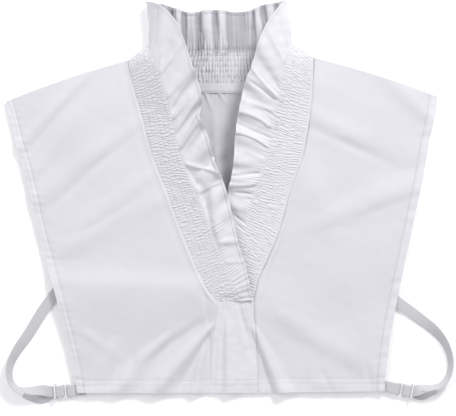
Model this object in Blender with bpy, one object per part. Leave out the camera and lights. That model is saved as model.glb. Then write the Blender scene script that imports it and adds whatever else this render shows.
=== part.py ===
"""Ruffled false collar, laid flat: a sleeveless bib of two front panels over one back panel, with a
shirred stand collar whose ruffle runs down both sides of the neck opening, and two adjustable side straps.

Units are metres, +Z is up and +Y points from the hem to the collar. The garment lies on its back panel,
whose underside is at Z = 0. Places in plan are read in pixels of the photograph, x to the right and y
down, and PIXEL turns them into metres. Heights are in millimetres above the surface.
"""

import math
from collections import namedtuple

import bmesh
import bpy
import numpy as np
from mathutils import Matrix, Vector

MM = 0.001
COLLECTION_NAME = "ruffled_collar"

# Driving sizes
SHOULDER_WIDTH = 410 * MM
SHOULDER_WIDTH_PX = 430
PIXEL = SHOULDER_WIDTH / SHOULDER_WIDTH_PX
CLOTH = 1.2 * MM
SEAM_GAP_PX = 0.7
LAYER_GAP = 0.3 * MM

# Collar strips: the shirred band along the seam, and the ruffle that stands on from its last row
GATHERS_FRONT = 46
GATHERS_BACK = 30
GATHER_RISE = 1.6 * MM
GATHER_ROWS = 5
RUFFLE_ROWS = 4
RUFFLE_FADE = 1.3
FRONT_BAND_MARGIN = 0.06
BACK_BAND_MARGIN = 0.15

# Panels
PANEL_ROWS = 36
PANEL_COLUMNS = 15
SIDE_HEM = 7.5 * MM
BOTTOM_HEM_SHARE = 0.035
HEM_RISE = 0.8 * MM
HEM_STEP = 0.4 * MM
LOWEST_FRONT = 1.5 * MM
SHOULDER_BULGE_PX = 2.1
SHOULDER_BULGE_SHARE = 0.14
BACK_INSET_PX = 2.5
SHOULDER_INSET_PX = 0.6
SHOULDER_POINTS = (0.15, 0.3, 0.45, 0.6, 0.75, 0.9)

# Neck binding and placket
BINDING_FIRST = 6
BINDING_STEP = 2
BINDING_ABOVE_PX = 3.2
BINDING_BELOW_PX = 4.2
BINDING_THICKNESS = 1.0 * MM
PLACKET_LIFT = 0.4 * MM
PLACKET_COLUMNS = 10
PLACKET_ROWS = 9

# Straps and their fittings
STRAP_WIDTH = 10.5 * MM
STRAP_THICKNESS = 0.9 * MM
BAR = 1.3 * MM
BAR_PITCH = 3.3 * MM
BAR_Z = 2.3 * MM
CONNECTOR_WIDTH = 13.4 * MM
TURN_RADIUS = 0.8 * BAR + LAYER_GAP + STRAP_THICKNESS / 2
TURN_STEPS = 6
STRAP_STEPS = 22
RETURN_STEPS = 12
TAB_TUCK = 7 * MM
TAB_LOW = CLOTH + LAYER_GAP + STRAP_THICKNESS / 2
TAB_HIGH = TAB_LOW + STRAP_THICKNESS + LAYER_GAP
SLIDER_OFFSET = 9.2 * MM
SLIDER_WIRE = 0.8 * MM
SLIDER_WIDTH = 14.6 * MM
SLIDER_LOW = 0.9 * MM
SLIDER_HIGH = 5.8 * MM
SLIDER_LEAN = math.radians(12)

# A cross-section of a collar strip: the seam, the last shirring row, the ruffle's free edge,
# and how far the ruffle bows to the right between the last two
Section = namedtuple("Section", "seam_x seam_y seam_z root_x root_y root_z edge_x edge_y edge_z bow")
LEFT_SECTIONS = (
    Section(128.3, 60.2, 4.0, 149.0, 46.0, 9.2, 146.6, 1.8, 9.2, 1.4),
    Section(129.3, 67.5, 4.2, 150.5, 52, 15.0, 152.0, 2.6, 16.0, 1.4),
    Section(131.0, 78.0, 4.2, 156.0, 64, 19.5, 163.0, 8.0, 23.5, 0.8),
    Section(134.0, 92.0, 4.2, 162.0, 82, 19.5, 179.0, 27.0, 26.0, 0),
    Section(137.0, 102.0, 4.2, 166.0, 97, 18.0, 190.0, 57.0, 25.0, 0),
    Section(142.0, 120.0, 4.2, 171.0, 114, 16.5, 197.0, 79.0, 23.0, 0),
    Section(146.0, 136.0, 4.2, 174.0, 129, 15.5, 202.0, 98.0, 21.0, 0),
    Section(150.0, 150.0, 4.2, 178.0, 146, 14.5, 201.0, 116.0, 19.0, 0),
    Section(156.0, 168.0, 4.2, 184.0, 166, 13.5, 208.0, 137.0, 17.5, 0),
    Section(163.0, 185.0, 4.2, 191.0, 183, 12.5, 215.0, 161.0, 16.0, 0),
    Section(172.0, 210.0, 4.2, 201.0, 205, 11.5, 225.0, 186.0, 14.0, 0),
    Section(185.0, 243.0, 4.2, 212.0, 232, 10.5, 233.0, 218.0, 12.5, 0),
    Section(196.0, 270.0, 4.2, 221.0, 256, 10.0, 239.0, 245.0, 11.5, 0),
    Section(206.0, 290.0, 4.2, 230.0, 278, 9.6, 246.0, 267.0, 10.8, 0),
    Section(215.0, 301.5, 4.2, 240.0, 300.5, 9.0, 253.0, 300.0, 9.6, 0),
)
RIGHT_SECTIONS = (
    Section(313.4, 57.6, 4.0, 291.3, 44.6, 9.2, 285.0, 0.8, 9.2, 1.2),
    Section(313.2, 66.5, 4.2, 289.0, 51.0, 15.0, 281.0, 4.5, 17.0, 1.4),
    Section(312.6, 80.0, 4.2, 285.0, 65.0, 19.5, 266.0, 25.0, 25.0, 1.0),
    Section(311.4, 102.0, 4.2, 280.0, 93.0, 18.0, 252.0, 64.0, 25.0, 0),
    Section(309.0, 122.0, 4.2, 276.0, 112.0, 15.5, 244.0, 86.0, 21.0, 0),
    Section(306.0, 140.0, 4.2, 273.0, 131.0, 13.5, 238.0, 114.0, 19.0, 0),
    Section(303.0, 155.0, 4.2, 270.0, 151.0, 12.5, 235.0, 136.0, 17.0, 0),
    Section(297.0, 172.0, 4.2, 265.0, 167.0, 11.5, 233.5, 161.0, 15.0, 0),
    Section(290.0, 190.0, 4.2, 259.0, 182.0, 10.5, 231.0, 178.0, 12.5, 0),
    Section(285.0, 210.0, 4.2, 254.0, 198.0, 9.0, 228.0, 188.0, 9.5, 0),
    Section(278.0, 234.0, 4.2, 249.0, 220.0, 7.2, 228.0, 206.0, 7.0, 0),
    Section(266.0, 262.0, 4.2, 243.0, 250.0, 6.4, 226.0, 242.0, 6.2, 0),
    Section(257.0, 283.0, 4.2, 239.0, 277.0, 6.0, 228.0, 274.0, 5.8, 0),
    Section(254.0, 301.0, 4.2, 240.0, 300.5, 5.6, 232.0, 300.0, 5.6, 0),
)
BACK_SECTIONS = (
    Section(128.3, 60.2, 1.3, 149.0, 46.0, 8.4, 146.6, 1.8, 8.4, 1.4),
    Section(131.0, 66.5, 0.7, 150.5, 49, 3.5, 149.5, 2.6, 3.5, 1.4),
    Section(141.0, 74.5, 0.6, 158.0, 52, 0.8, 160.0, 3.6, 1.0, 0.6),
    Section(160.0, 83.0, 0.6, 172.0, 52, 0.6, 175.0, 8.0, 0.6, 0),
    Section(185.0, 87.5, 0.6, 192.0, 51, 0.6, 191.0, 12.4, 0.6, 0),
    Section(205.0, 88.5, 0.6, 207.0, 50, 0.6, 206.0, 10.2, 0.6, 0),
    Section(222.0, 88.7, 0.6, 222.0, 50, 0.6, 221.0, 9.8, 0.6, 0),
    Section(238.0, 88.3, 0.6, 236.0, 50, 0.6, 234.0, 12.0, 0.6, 0),
    Section(256.0, 87.0, 0.6, 250.0, 50, 0.6, 248.0, 10.8, 0.6, 0),
    Section(284.0, 82.0, 0.6, 268.0, 51, 0.6, 263.0, 4.6, 0.6, 0),
    Section(302.0, 73.0, 0.6, 282.0, 49, 0.8, 277.0, 2.4, 1.0, 1.0),
    Section(311.0, 63.0, 0.7, 289.5, 46.5, 3.5, 283.5, 1.0, 3.5, 1.2),
    Section(313.4, 57.6, 1.3, 291.3, 44.6, 8.4, 285.0, 0.8, 8.4, 1.2),
)

# A wave of a ruffle: its crest as a share of the strip's length, and how far it rises
Crest = namedtuple("Crest", "place rise")
LEFT_CRESTS = (
    Crest(0.06, 1.0), Crest(0.14, 3.0), Crest(0.22, 6.0), Crest(0.30, 8.0), Crest(0.39, 7.0), Crest(0.47, 8.0),
    Crest(0.55, 6.0), Crest(0.63, 7.0), Crest(0.71, 5.0), Crest(0.79, 4.0), Crest(0.87, 3.0), Crest(0.95, 1.5),
)
RIGHT_CRESTS = (
    Crest(0.06, 1.0), Crest(0.14, 4.0), Crest(0.24, 8.0), Crest(0.32, 8.0), Crest(0.395, 7.0), Crest(0.47, 8.0),
    Crest(0.53, 4.0), Crest(0.60, 1.5), Crest(0.68, 1.0), Crest(0.77, 1.0), Crest(0.86, 1.0), Crest(0.95, 0.6),
)
BACK_CRESTS = (
    Crest(0.11, 3.0), Crest(0.21, 7.0), Crest(0.31, 3.0), Crest(0.43, 9.0), Crest(0.54, 7.0), Crest(0.65, 3.0),
    Crest(0.75, 7.0), Crest(0.85, 6.0), Crest(0.94, 2.0),
)

# The edges of a front panel, from the shoulder down: the free side, and how high the seam side lies
Side = namedtuple("Side", "x y side_z seam_z")
LEFT_SIDE = (
    Side(5.2, 101.6, 1.5, 2.4), Side(10.9, 123, 2.2, 3.5), Side(16.9, 147, 2.4, 3.5), Side(23.9, 170, 2.5, 3.5),
    Side(30.4, 197, 2.6, 3.5), Side(36.8, 227, 2.7, 3.5), Side(43.6, 253, 2.8, 3.5), Side(50.4, 277, 3.0, 3.5),
    Side(56.6, 299, 3.0, 3.4), Side(62.2, 322, 2.8, 3.2), Side(68.4, 347, 3.2, 2.2), Side(74.8, 377, 4.0, 2.0),
    Side(77.2, 393, 4.2, 2.0),
)
RIGHT_SIDE = (
    Side(437.9, 96.8, 1.5, 2.4), Side(433.6, 122, 2.2, 3.5), Side(428.2, 147, 2.4, 3.5), Side(423.5, 175, 2.5, 3.5),
    Side(417.4, 204, 2.6, 3.5), Side(411, 234, 2.7, 3.5), Side(405, 262, 2.8, 3.5), Side(400.4, 284, 3.0, 3.5),
    Side(396.6, 303, 3.0, 3.4), Side(392.4, 325, 2.8, 3.2), Side(388.9, 348, 3.2, 2.2), Side(385.4, 377, 4.0, 2.0),
    Side(384.6, 391, 4.2, 2.0),
)

# The placket's edges, from the foot of the collar to the hem
Placket = namedtuple("Placket", "y left_x right_x z")
PLACKET = (
    Placket(298, 216.6, 253.0, 1.7), Placket(305, 216.4, 253.6, 1.8), Placket(318, 215.4, 254.2, 2.2),
    Placket(345, 213.4, 256.4, 2.0), Placket(370, 211.6, 257.2, 2.0), Placket(392.9, 212.0, 257.4, 2.0),
)

# A soft fold of the front, from its head to its foot; a height under zero is a trough
Fold = namedtuple("Fold", "head_x head_y foot_x foot_y head_width foot_width head_height foot_height")
FOLDS = (
    Fold(20, 145, 78, 84, 6, 6, 1.7, 1.7),
    Fold(44, 162, 72, 122, 6, 6, 0.9, 0.9),
    Fold(46, 192, 93, 154, 9, 8, 1.8, 1.8),
    Fold(93, 154, 133, 127, 8, 6, 1.8, 1.2),
    Fold(98, 214, 142, 181, 9, 8, 1.3, 1.0),
    Fold(84, 240, 152, 203, 10, 8, 1.4, 1.0),
    Fold(66, 287, 186, 291, 22, 18, 3.4, 2.8),
    Fold(146, 190, 196, 302, 4, 5, 0.8, 1.4),
    Fold(208, 330, 162, 380, 4, 9, 3.0, 4.2),
    Fold(197, 326, 138, 368, 4, 7, -1.2, -1.6),
    Fold(211, 344, 198, 384, 3, 5, 1.4, 2.4),
    Fold(110, 352, 96, 386, 9, 10, 1.6, 2.0),
    Fold(395, 84, 430, 118, 10, 9, 1.8, 1.4),
    Fold(314, 115, 350, 135, 8, 9, 1.8, 2.0),
    Fold(350, 135, 396, 152, 9, 11, 2.0, 1.4),
    Fold(342, 213, 402, 190, 13, 13, 2.2, 2.4),
    Fold(302, 158, 326, 214, 14, 16, 1.2, 1.2),
    Fold(268, 304, 316, 338, 9, 10, 2.2, 2.8),
    Fold(316, 338, 366, 364, 10, 9, 2.8, 2.2),
    Fold(262, 326, 287, 384, 4, 8, 2.4, 4.4),
    Fold(257, 345, 271, 380, 3, 5, -1.6, -1.6),
    Fold(234, 312, 240, 388, 5, 9, 1.8, 2.6),
    Fold(222, 306, 219, 352, 3, 4, 0.9, 0.6),
    Fold(248, 306, 250, 352, 3, 4, 0.9, 0.6),
)

# A place on a strap: its centre in plan, how far the outer edge is tipped up and how high it is held
Place = namedtuple("Place", "x y lean lift")
LEFT_STRAP = (
    Place(68.5, 277, 0, 1.5), Place(62, 285, 0, 1.5), Place(54.6, 294.4, 0, 1.5), Place(43, 310.4, 0, 1.0),
    Place(27.8, 335, 12, 0.1), Place(17, 350.6, 32, 0.1), Place(11.2, 362, 47, 0.1), Place(9.2, 373, 57, 0.1),
    Place(12, 384, 60, 0.1), Place(19, 390.2, 58, 0.1), Place(27, 391, 50, 0.1), Place(36, 390.4, 40, 0.2),
    Place(43, 390.4, 16, 2.2), Place(49, 391.4, 0, 3.4), Place(55, 391.7, 0, 3.6),
)
LEFT_RETURN = (
    Place(57.4, 391.9, 0, 2.0), Place(52.5, 392.6, 0, 2.0), Place(44.5, 397.4, -8, 0.1), Place(37, 398.6, -36, 0.1),
    Place(29.5, 397.4, -52, 0.1), Place(23.5, 395, -58, 0.1),
)
RIGHT_STRAP = (
    Place(384.6, 288.6, 0, 1.5), Place(390.2, 295.8, 0, 1.5), Place(397.8, 302.2, 0, 1.5),
    Place(409.4, 310.6, 0, 1.0), Place(421.4, 319.8, 8, 0.1), Place(433.2, 329, 26, 0.1), Place(443.2, 340.6, 44, 0.1),
    Place(449.2, 354, 57, 0.1), Place(450.6, 366, 63, 0.1), Place(447.4, 377.4, 64, 0.1), Place(440, 385.6, 61, 0.1),
    Place(429.5, 388.4, 54, 0.1), Place(422, 389.4, 36, 0.6), Place(417.4, 390.5, 8, 2.6), Place(413, 391.2, 0, 3.4),
    Place(408, 390.9, 0, 3.6),
)
RIGHT_RETURN = (
    Place(408.6, 390.9, 0, 2.0), Place(413.4, 391.6, 0, 2.0), Place(419, 394.6, -8, 0.1), Place(425.5, 394.8, -44, 0.1),
    Place(431.5, 393, -60, 0.1), Place(436.5, 391, -63, 0.1),
)

# Where a strap meets the garment: the connector's centre, the way it points, and the tab's length
Ending = namedtuple("Ending", "x y degrees tab_length_px outer_hand")
LEFT_ENDING = Ending(65.3, 391.0, 4, 12.5, 1)
RIGHT_ENDING = Ending(401.5, 389.6, 169, 17.5, -1)

# Colours are linear, as the photograph shows them
POPLIN = (0.76, 0.75, 0.79)
ELASTIC = (0.62, 0.62, 0.64)
PLASTIC = (0.85, 0.85, 0.86)
CLOTH_ROUGHNESS = 0.85
ELASTIC_ROUGHNESS = 0.5
PLASTIC_ROUGHNESS = 0.3

UP = np.array([0.0, 0.0, 1.0])

# The middle of the garment's box in the photograph, which becomes the origin
BOX_CENTRE_PX = (230.4, 201.8)


def clear_scene():
    for scene_object in list(bpy.data.objects):
        bpy.data.objects.remove(scene_object, do_unlink=True)


def new_collection(name):
    collection = bpy.data.collections.new(name)
    bpy.context.scene.collection.children.link(collection)
    return collection


def new_material(name, colour, roughness):
    material = bpy.data.materials.new(name)
    material.use_nodes = True
    shader = material.node_tree.nodes["Principled BSDF"]
    shader.inputs["Base Color"].default_value = (*colour, 1.0)
    shader.inputs["Roughness"].default_value = roughness
    shader.inputs["Metallic"].default_value = 0.0
    material.diffuse_color = (*colour, 1.0)
    return material


def place_object(name, data, collection, colour, roughness):
    placed = bpy.data.objects.new(name, data)
    data.materials.append(new_material(name + "_material", colour, roughness))
    collection.objects.link(placed)
    return placed


def plan(x, y):
    """Metres east and north of the origin, from a place in the photograph."""
    return (np.asarray(x) - BOX_CENTRE_PX[0]) * PIXEL, (BOX_CENTRE_PX[1] - np.asarray(y)) * PIXEL


def world(x, y, z_mm):
    """Points in metres, from places in the photograph and heights in millimetres."""
    east, north = plan(x, y)
    east, north, height = np.broadcast_arrays(east, north, np.asarray(z_mm) * MM)
    return np.stack([east, north, height], axis=-1)


def smooth(knots, values, wanted):
    """Cubic curve through the values at the knots, read at the wanted places."""
    knots, values, wanted = (np.asarray(part, float) for part in (knots, values, wanted))
    slopes = np.gradient(values, knots, axis=0)
    first = np.clip(np.searchsorted(knots, wanted, side="right") - 1, 0, len(knots) - 2)
    span = knots[first + 1] - knots[first]
    t = ((wanted - knots[first]) / span)[:, None]
    span = span[:, None]
    start = (2 * t**3 - 3 * t**2 + 1) * values[first] + (t**3 - 2 * t**2 + t) * span * slopes[first]
    end = (3 * t**2 - 2 * t**3) * values[first + 1] + (t**3 - t**2) * span * slopes[first + 1]
    return start + end


def lengths(points):
    """Distance along a chain of points, from its first."""
    steps = np.linalg.norm(np.diff(points, axis=0), axis=1)
    return np.concatenate([[0.0], np.cumsum(steps)])


def wall_top(under, thickness):
    """The upper points of a wall over its lower ones, straight above them along the seam sides."""
    upward = normals(under)
    upward[:, -1] = UP
    return under + upward * np.asarray(thickness)[..., None]


def normals(surface):
    """Unit normals of a grid of points, on its upper side."""
    down_rows, along_columns = np.gradient(surface, axis=(0, 1))
    cross = np.cross(along_columns, down_rows)
    cross /= np.maximum(np.linalg.norm(cross, axis=-1, keepdims=True), 1e-12)
    return cross if cross[..., 2].mean() > 0 else -cross


def loft(name, outer, inner, collection, colour=POPLIN, roughness=CLOTH_ROUGHNESS, kept=None):
    """Closed wall between two grids of points with the same columns, each a list of rows.

    The inner grid may hold fewer rows, and kept lists the outer rows that they lie under.
    """
    kept = list(range(len(outer))) if kept is None else kept
    mesh = bmesh.new()
    outer_rows = [[mesh.verts.new(point) for point in row] for row in outer]
    inner_rows = [[mesh.verts.new(point) for point in row] for row in inner]
    for rows in (outer_rows, inner_rows):
        for above, below in zip(rows, rows[1:]):
            for column in range(len(above) - 1):
                mesh.faces.new((above[column], above[column + 1], below[column + 1], below[column]))
    for outer_row, inner_row in ((outer_rows[0], inner_rows[0]), (outer_rows[-1], inner_rows[-1])):
        for column in range(len(outer_row) - 1):
            mesh.faces.new((outer_row[column], outer_row[column + 1], inner_row[column + 1], inner_row[column]))
    for column in (0, -1):
        for inner_row, (first, last) in enumerate(zip(kept, kept[1:])):
            over = [row[column] for row in outer_rows[first : last + 1]]
            mesh.faces.new([*over, inner_rows[inner_row + 1][column], inner_rows[inner_row][column]])
    bmesh.ops.recalc_face_normals(mesh, faces=mesh.faces)
    data = bpy.data.meshes.new(name)
    mesh.to_mesh(data)
    mesh.free()
    return place_object(name, data, collection, colour, roughness)


def section_lines(sections, columns):
    """The seam, root and edge of a collar strip, each a row of points along it, and the ruffle's bow."""
    table = np.array(sections, float)
    seam = world(table[:, 0], table[:, 1], table[:, 2])
    root = world(table[:, 3], table[:, 4], table[:, 5])
    edge = world(table[:, 6], table[:, 7], table[:, 8])
    bow = table[:, 9:] * PIXEL
    knots = lengths((seam + root) / 2)
    wanted = np.linspace(0, knots[-1], columns + 1)
    lines = [smooth(knots, line, wanted) for line in (seam, root, edge, bow)]
    for line in lines[:3]:
        line[:, 2] = np.maximum(line[:, 2], CLOTH / 2)
    return lines


def wave_heights(crests, columns):
    """Height of the ruffle's waves at each column, zero in each trough."""
    places = np.array([crest.place for crest in crests])
    rises = np.array([crest.rise for crest in crests]) * MM
    shares = np.linspace(0, 1, columns + 1)
    turns = np.interp(shares, places, np.arange(len(places)), left=-0.5, right=len(places) - 0.5)
    return np.interp(shares, places, rises) * (1 + np.cos(2 * math.pi * turns)) / 2


def band_shares(margin):
    """Places across the shirred band: the seam, the plain margin, the rows of gathers and the root."""
    gathered = [margin + (1 - margin) * row / (GATHER_ROWS + 1) for row in range(1, GATHER_ROWS + 1)]
    return [0.0, margin, *gathered, 1.0]


def collar_strip(name, sections, crests, gathers, margin, collection):
    """One strip of the collar: a shirred band with raised gathers over a plain inside, and its ruffle."""
    columns = 2 * gathers
    seam, root, edge, bow = section_lines(sections, columns)
    band = [seam + (root - seam) * share for share in band_shares(margin)]
    waves = wave_heights(crests, columns)
    ruffle = []
    for row in range(1, RUFFLE_ROWS + 1):
        share = row / RUFFLE_ROWS
        line = root + (edge - root) * share
        line[:, 0] += bow[:, 0] * 4 * share * (1 - share)
        line[:, 2] += waves * share**RUFFLE_FADE
        ruffle.append(line)
    surface = np.array(band + ruffle)
    upward = normals(surface)
    upward[0] = UP
    relief = np.zeros(surface.shape[:2])
    inside_columns = np.arange(1, columns)
    for row in range(2, 2 + GATHER_ROWS):
        relief[row, inside_columns] = GATHER_RISE * ((inside_columns + row) % 2)
    relief[len(band) - 1, inside_columns] = GATHER_RISE / 2 * (inside_columns % 2)
    outer = surface + upward * (CLOTH / 2 + relief)[..., None]
    kept = [0, *range(len(band) - 1, len(surface))]
    inner = (surface - upward * CLOTH / 2)[kept]
    return loft(name, outer, inner, collection, kept=kept)


def fold_heights(x, y):
    """Rise of the front's soft folds at places in the photograph, in millimetres; ridges merge, troughs add up."""
    ridges = np.zeros(np.broadcast(x, y).shape)
    troughs = np.zeros_like(ridges)
    for fold in FOLDS:
        run_x, run_y = fold.foot_x - fold.head_x, fold.foot_y - fold.head_y
        share = ((x - fold.head_x) * run_x + (y - fold.head_y) * run_y) / (run_x**2 + run_y**2)
        share = np.clip(share, 0, 1)
        away = np.hypot(x - fold.head_x - share * run_x, y - fold.head_y - share * run_y)
        width = fold.head_width + (fold.foot_width - fold.head_width) * share
        height = (fold.head_height + (fold.foot_height - fold.head_height) * share) * np.exp(-((away / width) ** 2))
        ridges = np.maximum(ridges, height)
        troughs += np.minimum(height, 0)
    return ridges + troughs


def seam_side(sections, hand):
    """The panel's edge along the collar and the placket, in pixels, clear of both by the seam's gap."""
    seam = section_lines(sections, 2 * GATHERS_FRONT)[0]
    x = seam[:, 0] / PIXEL + BOX_CENTRE_PX[0] + hand * SEAM_GAP_PX
    y = BOX_CENTRE_PX[1] - seam[:, 1] / PIXEL
    rows = [row for row in PLACKET if row.y > sections[-1].seam_y + 1]
    placket_x = [(row.right_x if hand > 0 else row.left_x) + hand * SEAM_GAP_PX for row in rows]
    return np.column_stack([np.append(x, placket_x), np.append(y, [row.y for row in rows])])


def panel_shares():
    """Places down a panel, with a narrow step at the hem's inner line."""
    step = HEM_STEP / (300 * PIXEL)
    above = np.linspace(0, 1 - BOTTOM_HEM_SHARE - step, PANEL_ROWS)
    return np.append(above, [1 - BOTTOM_HEM_SHARE, 1.0])


def shoulder_bulge(across):
    """How far the shoulder line stands above a straight one, in pixels."""
    return SHOULDER_BULGE_PX * np.sin(math.pi * across)


def front_panel(name, side, sections, hand, collection):
    """One front panel: a wall between its free side and its seam side, thicker along its hems."""
    shares = panel_shares()
    table = np.array(side, float)
    free = smooth(np.linspace(0, 1, len(table)), table, shares)
    seam = seam_side(sections, hand)
    seam_knots = lengths(seam) / lengths(seam)[-1]
    seam = np.column_stack([np.interp(shares, seam_knots, seam[:, axis]) for axis in (0, 1)])
    width = np.hypot(seam[:, 0] - free[:, 0], seam[:, 1] - free[:, 1])
    hem = SIDE_HEM / PIXEL / width
    step = HEM_STEP / PIXEL / width
    inward = [np.zeros_like(width), hem - step, hem]
    inward += [hem + (1 - hem) * column / PANEL_COLUMNS for column in range(1, PANEL_COLUMNS + 1)]
    across = np.array(inward).T
    x = free[:, :1] + (seam[:, :1] - free[:, :1]) * across
    y = free[:, 1:2] + (seam[:, 1:2] - free[:, 1:2]) * across
    fade = np.clip(1 - shares / SHOULDER_BULGE_SHARE, 0, 1)[:, None]
    y = y - shoulder_bulge(across) * fade
    base = free[:, 2:3] + (free[:, 3:4] - free[:, 2:3]) * across
    under = world(x, y, np.maximum(base + fold_heights(x, y), LOWEST_FRONT / MM))
    thickness = np.full(x.shape, CLOTH)
    thickness[:, :2] += HEM_RISE
    thickness[-2:, 2:] += HEM_RISE
    return loft(name, wall_top(under, thickness), under, collection)


def placket(collection):
    """The gathered strip between the fronts, from under the collar's foot to the hem."""
    table = np.array(PLACKET, float)
    rows_y = np.linspace(table[0, 0], table[-1, 0], PLACKET_ROWS)
    rows = smooth(table[:, 0], table, rows_y)
    across = np.linspace(0, 1, PLACKET_COLUMNS + 1)[None, :]
    x = rows[:, 1:2] + (rows[:, 2:3] - rows[:, 1:2]) * across
    y = np.repeat(rows[:, :1], PLACKET_COLUMNS + 1, axis=1)
    head = np.clip((y - table[1, 0]) / (table[2, 0] - table[1, 0]), 0, 1)
    height = rows[:, 3:4] + fold_heights(x, y) * head + PLACKET_LIFT / MM * head
    under = world(x, y, np.maximum(height, LOWEST_FRONT / MM))
    over = under + UP * CLOTH
    return loft("placket", over, under, collection)


def back_neckline():
    """The back strip's seam in pixels, from the left shoulder to the right."""
    seam = section_lines(BACK_SECTIONS, 2 * GATHERS_BACK)[0]
    return np.column_stack([seam[:, 0] / PIXEL + BOX_CENTRE_PX[0], BOX_CENTRE_PX[1] - seam[:, 1] / PIXEL])


def back_side(side, neck_end, inward):
    """One side of the back's outline, from its shoulder by the neck down to its hem."""
    top = side[0]
    shoulder = []
    for across in SHOULDER_POINTS:
        x = neck_end[0] + (top.x - neck_end[0]) * across
        y = neck_end[1] + (top.y - neck_end[1]) * across - shoulder_bulge(across) + SHOULDER_INSET_PX
        shoulder.append((x, y))
    corner = (top.x + inward * BACK_INSET_PX, top.y + SHOULDER_INSET_PX)
    edge = [(row.x + inward * BACK_INSET_PX, row.y) for row in side[1:-1]]
    foot = (side[-1].x + inward * BACK_INSET_PX, side[-1].y - BACK_INSET_PX)
    return [*shoulder, corner, *edge, foot]


def back_panel(collection):
    """The back, a flat sheet just inside the fronts' outline, cut out along the back neck."""
    neck = [(x, y + SEAM_GAP_PX) for x, y in back_neckline()[1:-1]]
    left = back_side(LEFT_SIDE, neck[0], 1)
    right = back_side(RIGHT_SIDE, neck[-1], -1)
    outline = left[::-1] + neck + right
    curve = bpy.data.curves.new("back_panel", "CURVE")
    curve.dimensions = "2D"
    curve.fill_mode = "BOTH"
    curve.extrude = CLOTH / 2
    spline = curve.splines.new("POLY")
    spline.points.add(len(outline) - 1)
    for point, (x, y) in zip(spline.points, outline):
        east, north = plan(x, y)
        point.co = (east, north, 0.0, 1.0)
    spline.use_cyclic_u = True
    panel = place_object("back_panel", curve, collection, POPLIN, CLOTH_ROUGHNESS)
    panel.location.z = CLOTH / 2
    return panel


def neck_binding(collection):
    """The strip over the back neck seam, seen inside the opening."""
    neck = back_neckline()[BINDING_FIRST : -BINDING_FIRST : BINDING_STEP]
    rows = [(neck[:, 0], neck[:, 1] - BINDING_ABOVE_PX), (neck[:, 0], neck[:, 1] + BINDING_BELOW_PX)]
    low = (CLOTH + LAYER_GAP) / MM
    under = [world(x, y, low) for x, y in rows]
    over = [world(x, y, low + BINDING_THICKNESS / MM) for x, y in rows]
    return loft("neck_binding", over, under, collection)


def ribbon(name, centres, across, collection, width=STRAP_WIDTH):
    """A flat band swept through the centres, with its width along the across directions."""
    along = np.gradient(centres, axis=0)
    along /= np.linalg.norm(along, axis=1, keepdims=True)
    across = across - along * (across * along).sum(axis=1, keepdims=True)
    across /= np.linalg.norm(across, axis=1, keepdims=True)
    facing = np.cross(along, across)
    half_width = across * width / 2
    half_thickness = facing * STRAP_THICKNESS / 2
    top = [centres - half_width + half_thickness, centres + half_width + half_thickness]
    bottom = [centres - half_width - half_thickness, centres + half_width - half_thickness]
    return loft(name, top, bottom, collection, ELASTIC, ELASTIC_ROUGHNESS)


def strap_run(places, steps, hand):
    """Centres of a strap's run and the direction of its outer edge at each."""
    table = np.array(places, float)
    flat = world(table[:, 0], table[:, 1], 0.0)
    knots = lengths(flat)
    wanted = np.linspace(0, knots[-1], steps + 1)
    centres = smooth(knots, flat, wanted)
    lean, lift = smooth(knots, table[:, 2:4], wanted).T
    lean = np.radians(lean)
    centres[:, 2] = np.maximum(lift, 0.05) * MM
    centres[:, 2] += STRAP_WIDTH / 2 * np.abs(np.sin(lean)) + STRAP_THICKNESS / 2 * np.cos(lean)
    heading = np.gradient(centres[:, :2], axis=0)
    heading /= np.linalg.norm(heading, axis=1, keepdims=True)
    outward = hand * np.column_stack([heading[:, 1], -heading[:, 0]])
    across = np.column_stack([outward * np.cos(lean)[:, None], np.sin(lean)])
    return centres, across


class EndFrame:
    """Directions at a connector: along points to the garment, and across to the outer side of the strap."""

    def __init__(self, ending):
        east, north = plan(ending.x, ending.y)
        angle = math.radians(ending.degrees)
        self.origin = np.array([east, north, 0.0])
        self.along = np.array([math.cos(angle), math.sin(angle), 0.0])
        self.across = ending.outer_hand * np.array([self.along[1], -self.along[0], 0.0])
        self.up = np.array([0.0, 0.0, 1.0])

    def point(self, along, across, height):
        return self.origin + self.along * along + self.across * across + self.up * height

    def turn(self, middle, towards):
        """Half circle round a bar, from above it to below; towards is the side that its back faces."""
        angles = np.linspace(math.pi / 2, -math.pi / 2, TURN_STEPS + 1)
        return [
            self.point(
                middle + towards * TURN_RADIUS * math.cos(angle), 0.0, BAR_Z + TURN_RADIUS * math.sin(angle)
            )
            for angle in angles
        ]


def strap(name, run, back_run, ending, collection):
    """An elastic strap: out in a loop to the connector, round its near bar, and back along itself."""
    frame = EndFrame(ending)
    out_centres, out_across = strap_run(run, STRAP_STEPS, ending.outer_hand)
    back_centres, back_across = strap_run(back_run, RETURN_STEPS, -ending.outer_hand)
    turn_centres = np.array(frame.turn(-BAR_PITCH, 1))
    turn_across = np.repeat(frame.across[None, :], len(turn_centres), axis=0)
    centres = np.concatenate([out_centres, turn_centres, back_centres])
    across = np.concatenate([out_across, turn_across, back_across])
    return ribbon(name, centres, across, collection)


def strap_tab(name, ending, collection):
    """The doubled tab that holds the connector to the front's lower corner."""
    frame = EndFrame(ending)
    reach = ending.tab_length_px * PIXEL
    upper = [(reach + TAB_TUCK, TAB_HIGH), (reach, TAB_HIGH), (BAR_PITCH + BAR, BAR_Z + TURN_RADIUS)]
    lower = [(BAR_PITCH + BAR, BAR_Z - TURN_RADIUS), (reach, TAB_LOW), (reach + TAB_TUCK, TAB_LOW)]
    centres = [frame.point(along, 0.0, height) for along, height in upper]
    centres += frame.turn(BAR_PITCH, -1)
    centres += [frame.point(along, 0.0, height) for along, height in lower]
    across = np.repeat(frame.across[None, :], len(centres), axis=0)
    return ribbon(name, np.array(centres), across, collection)


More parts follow.
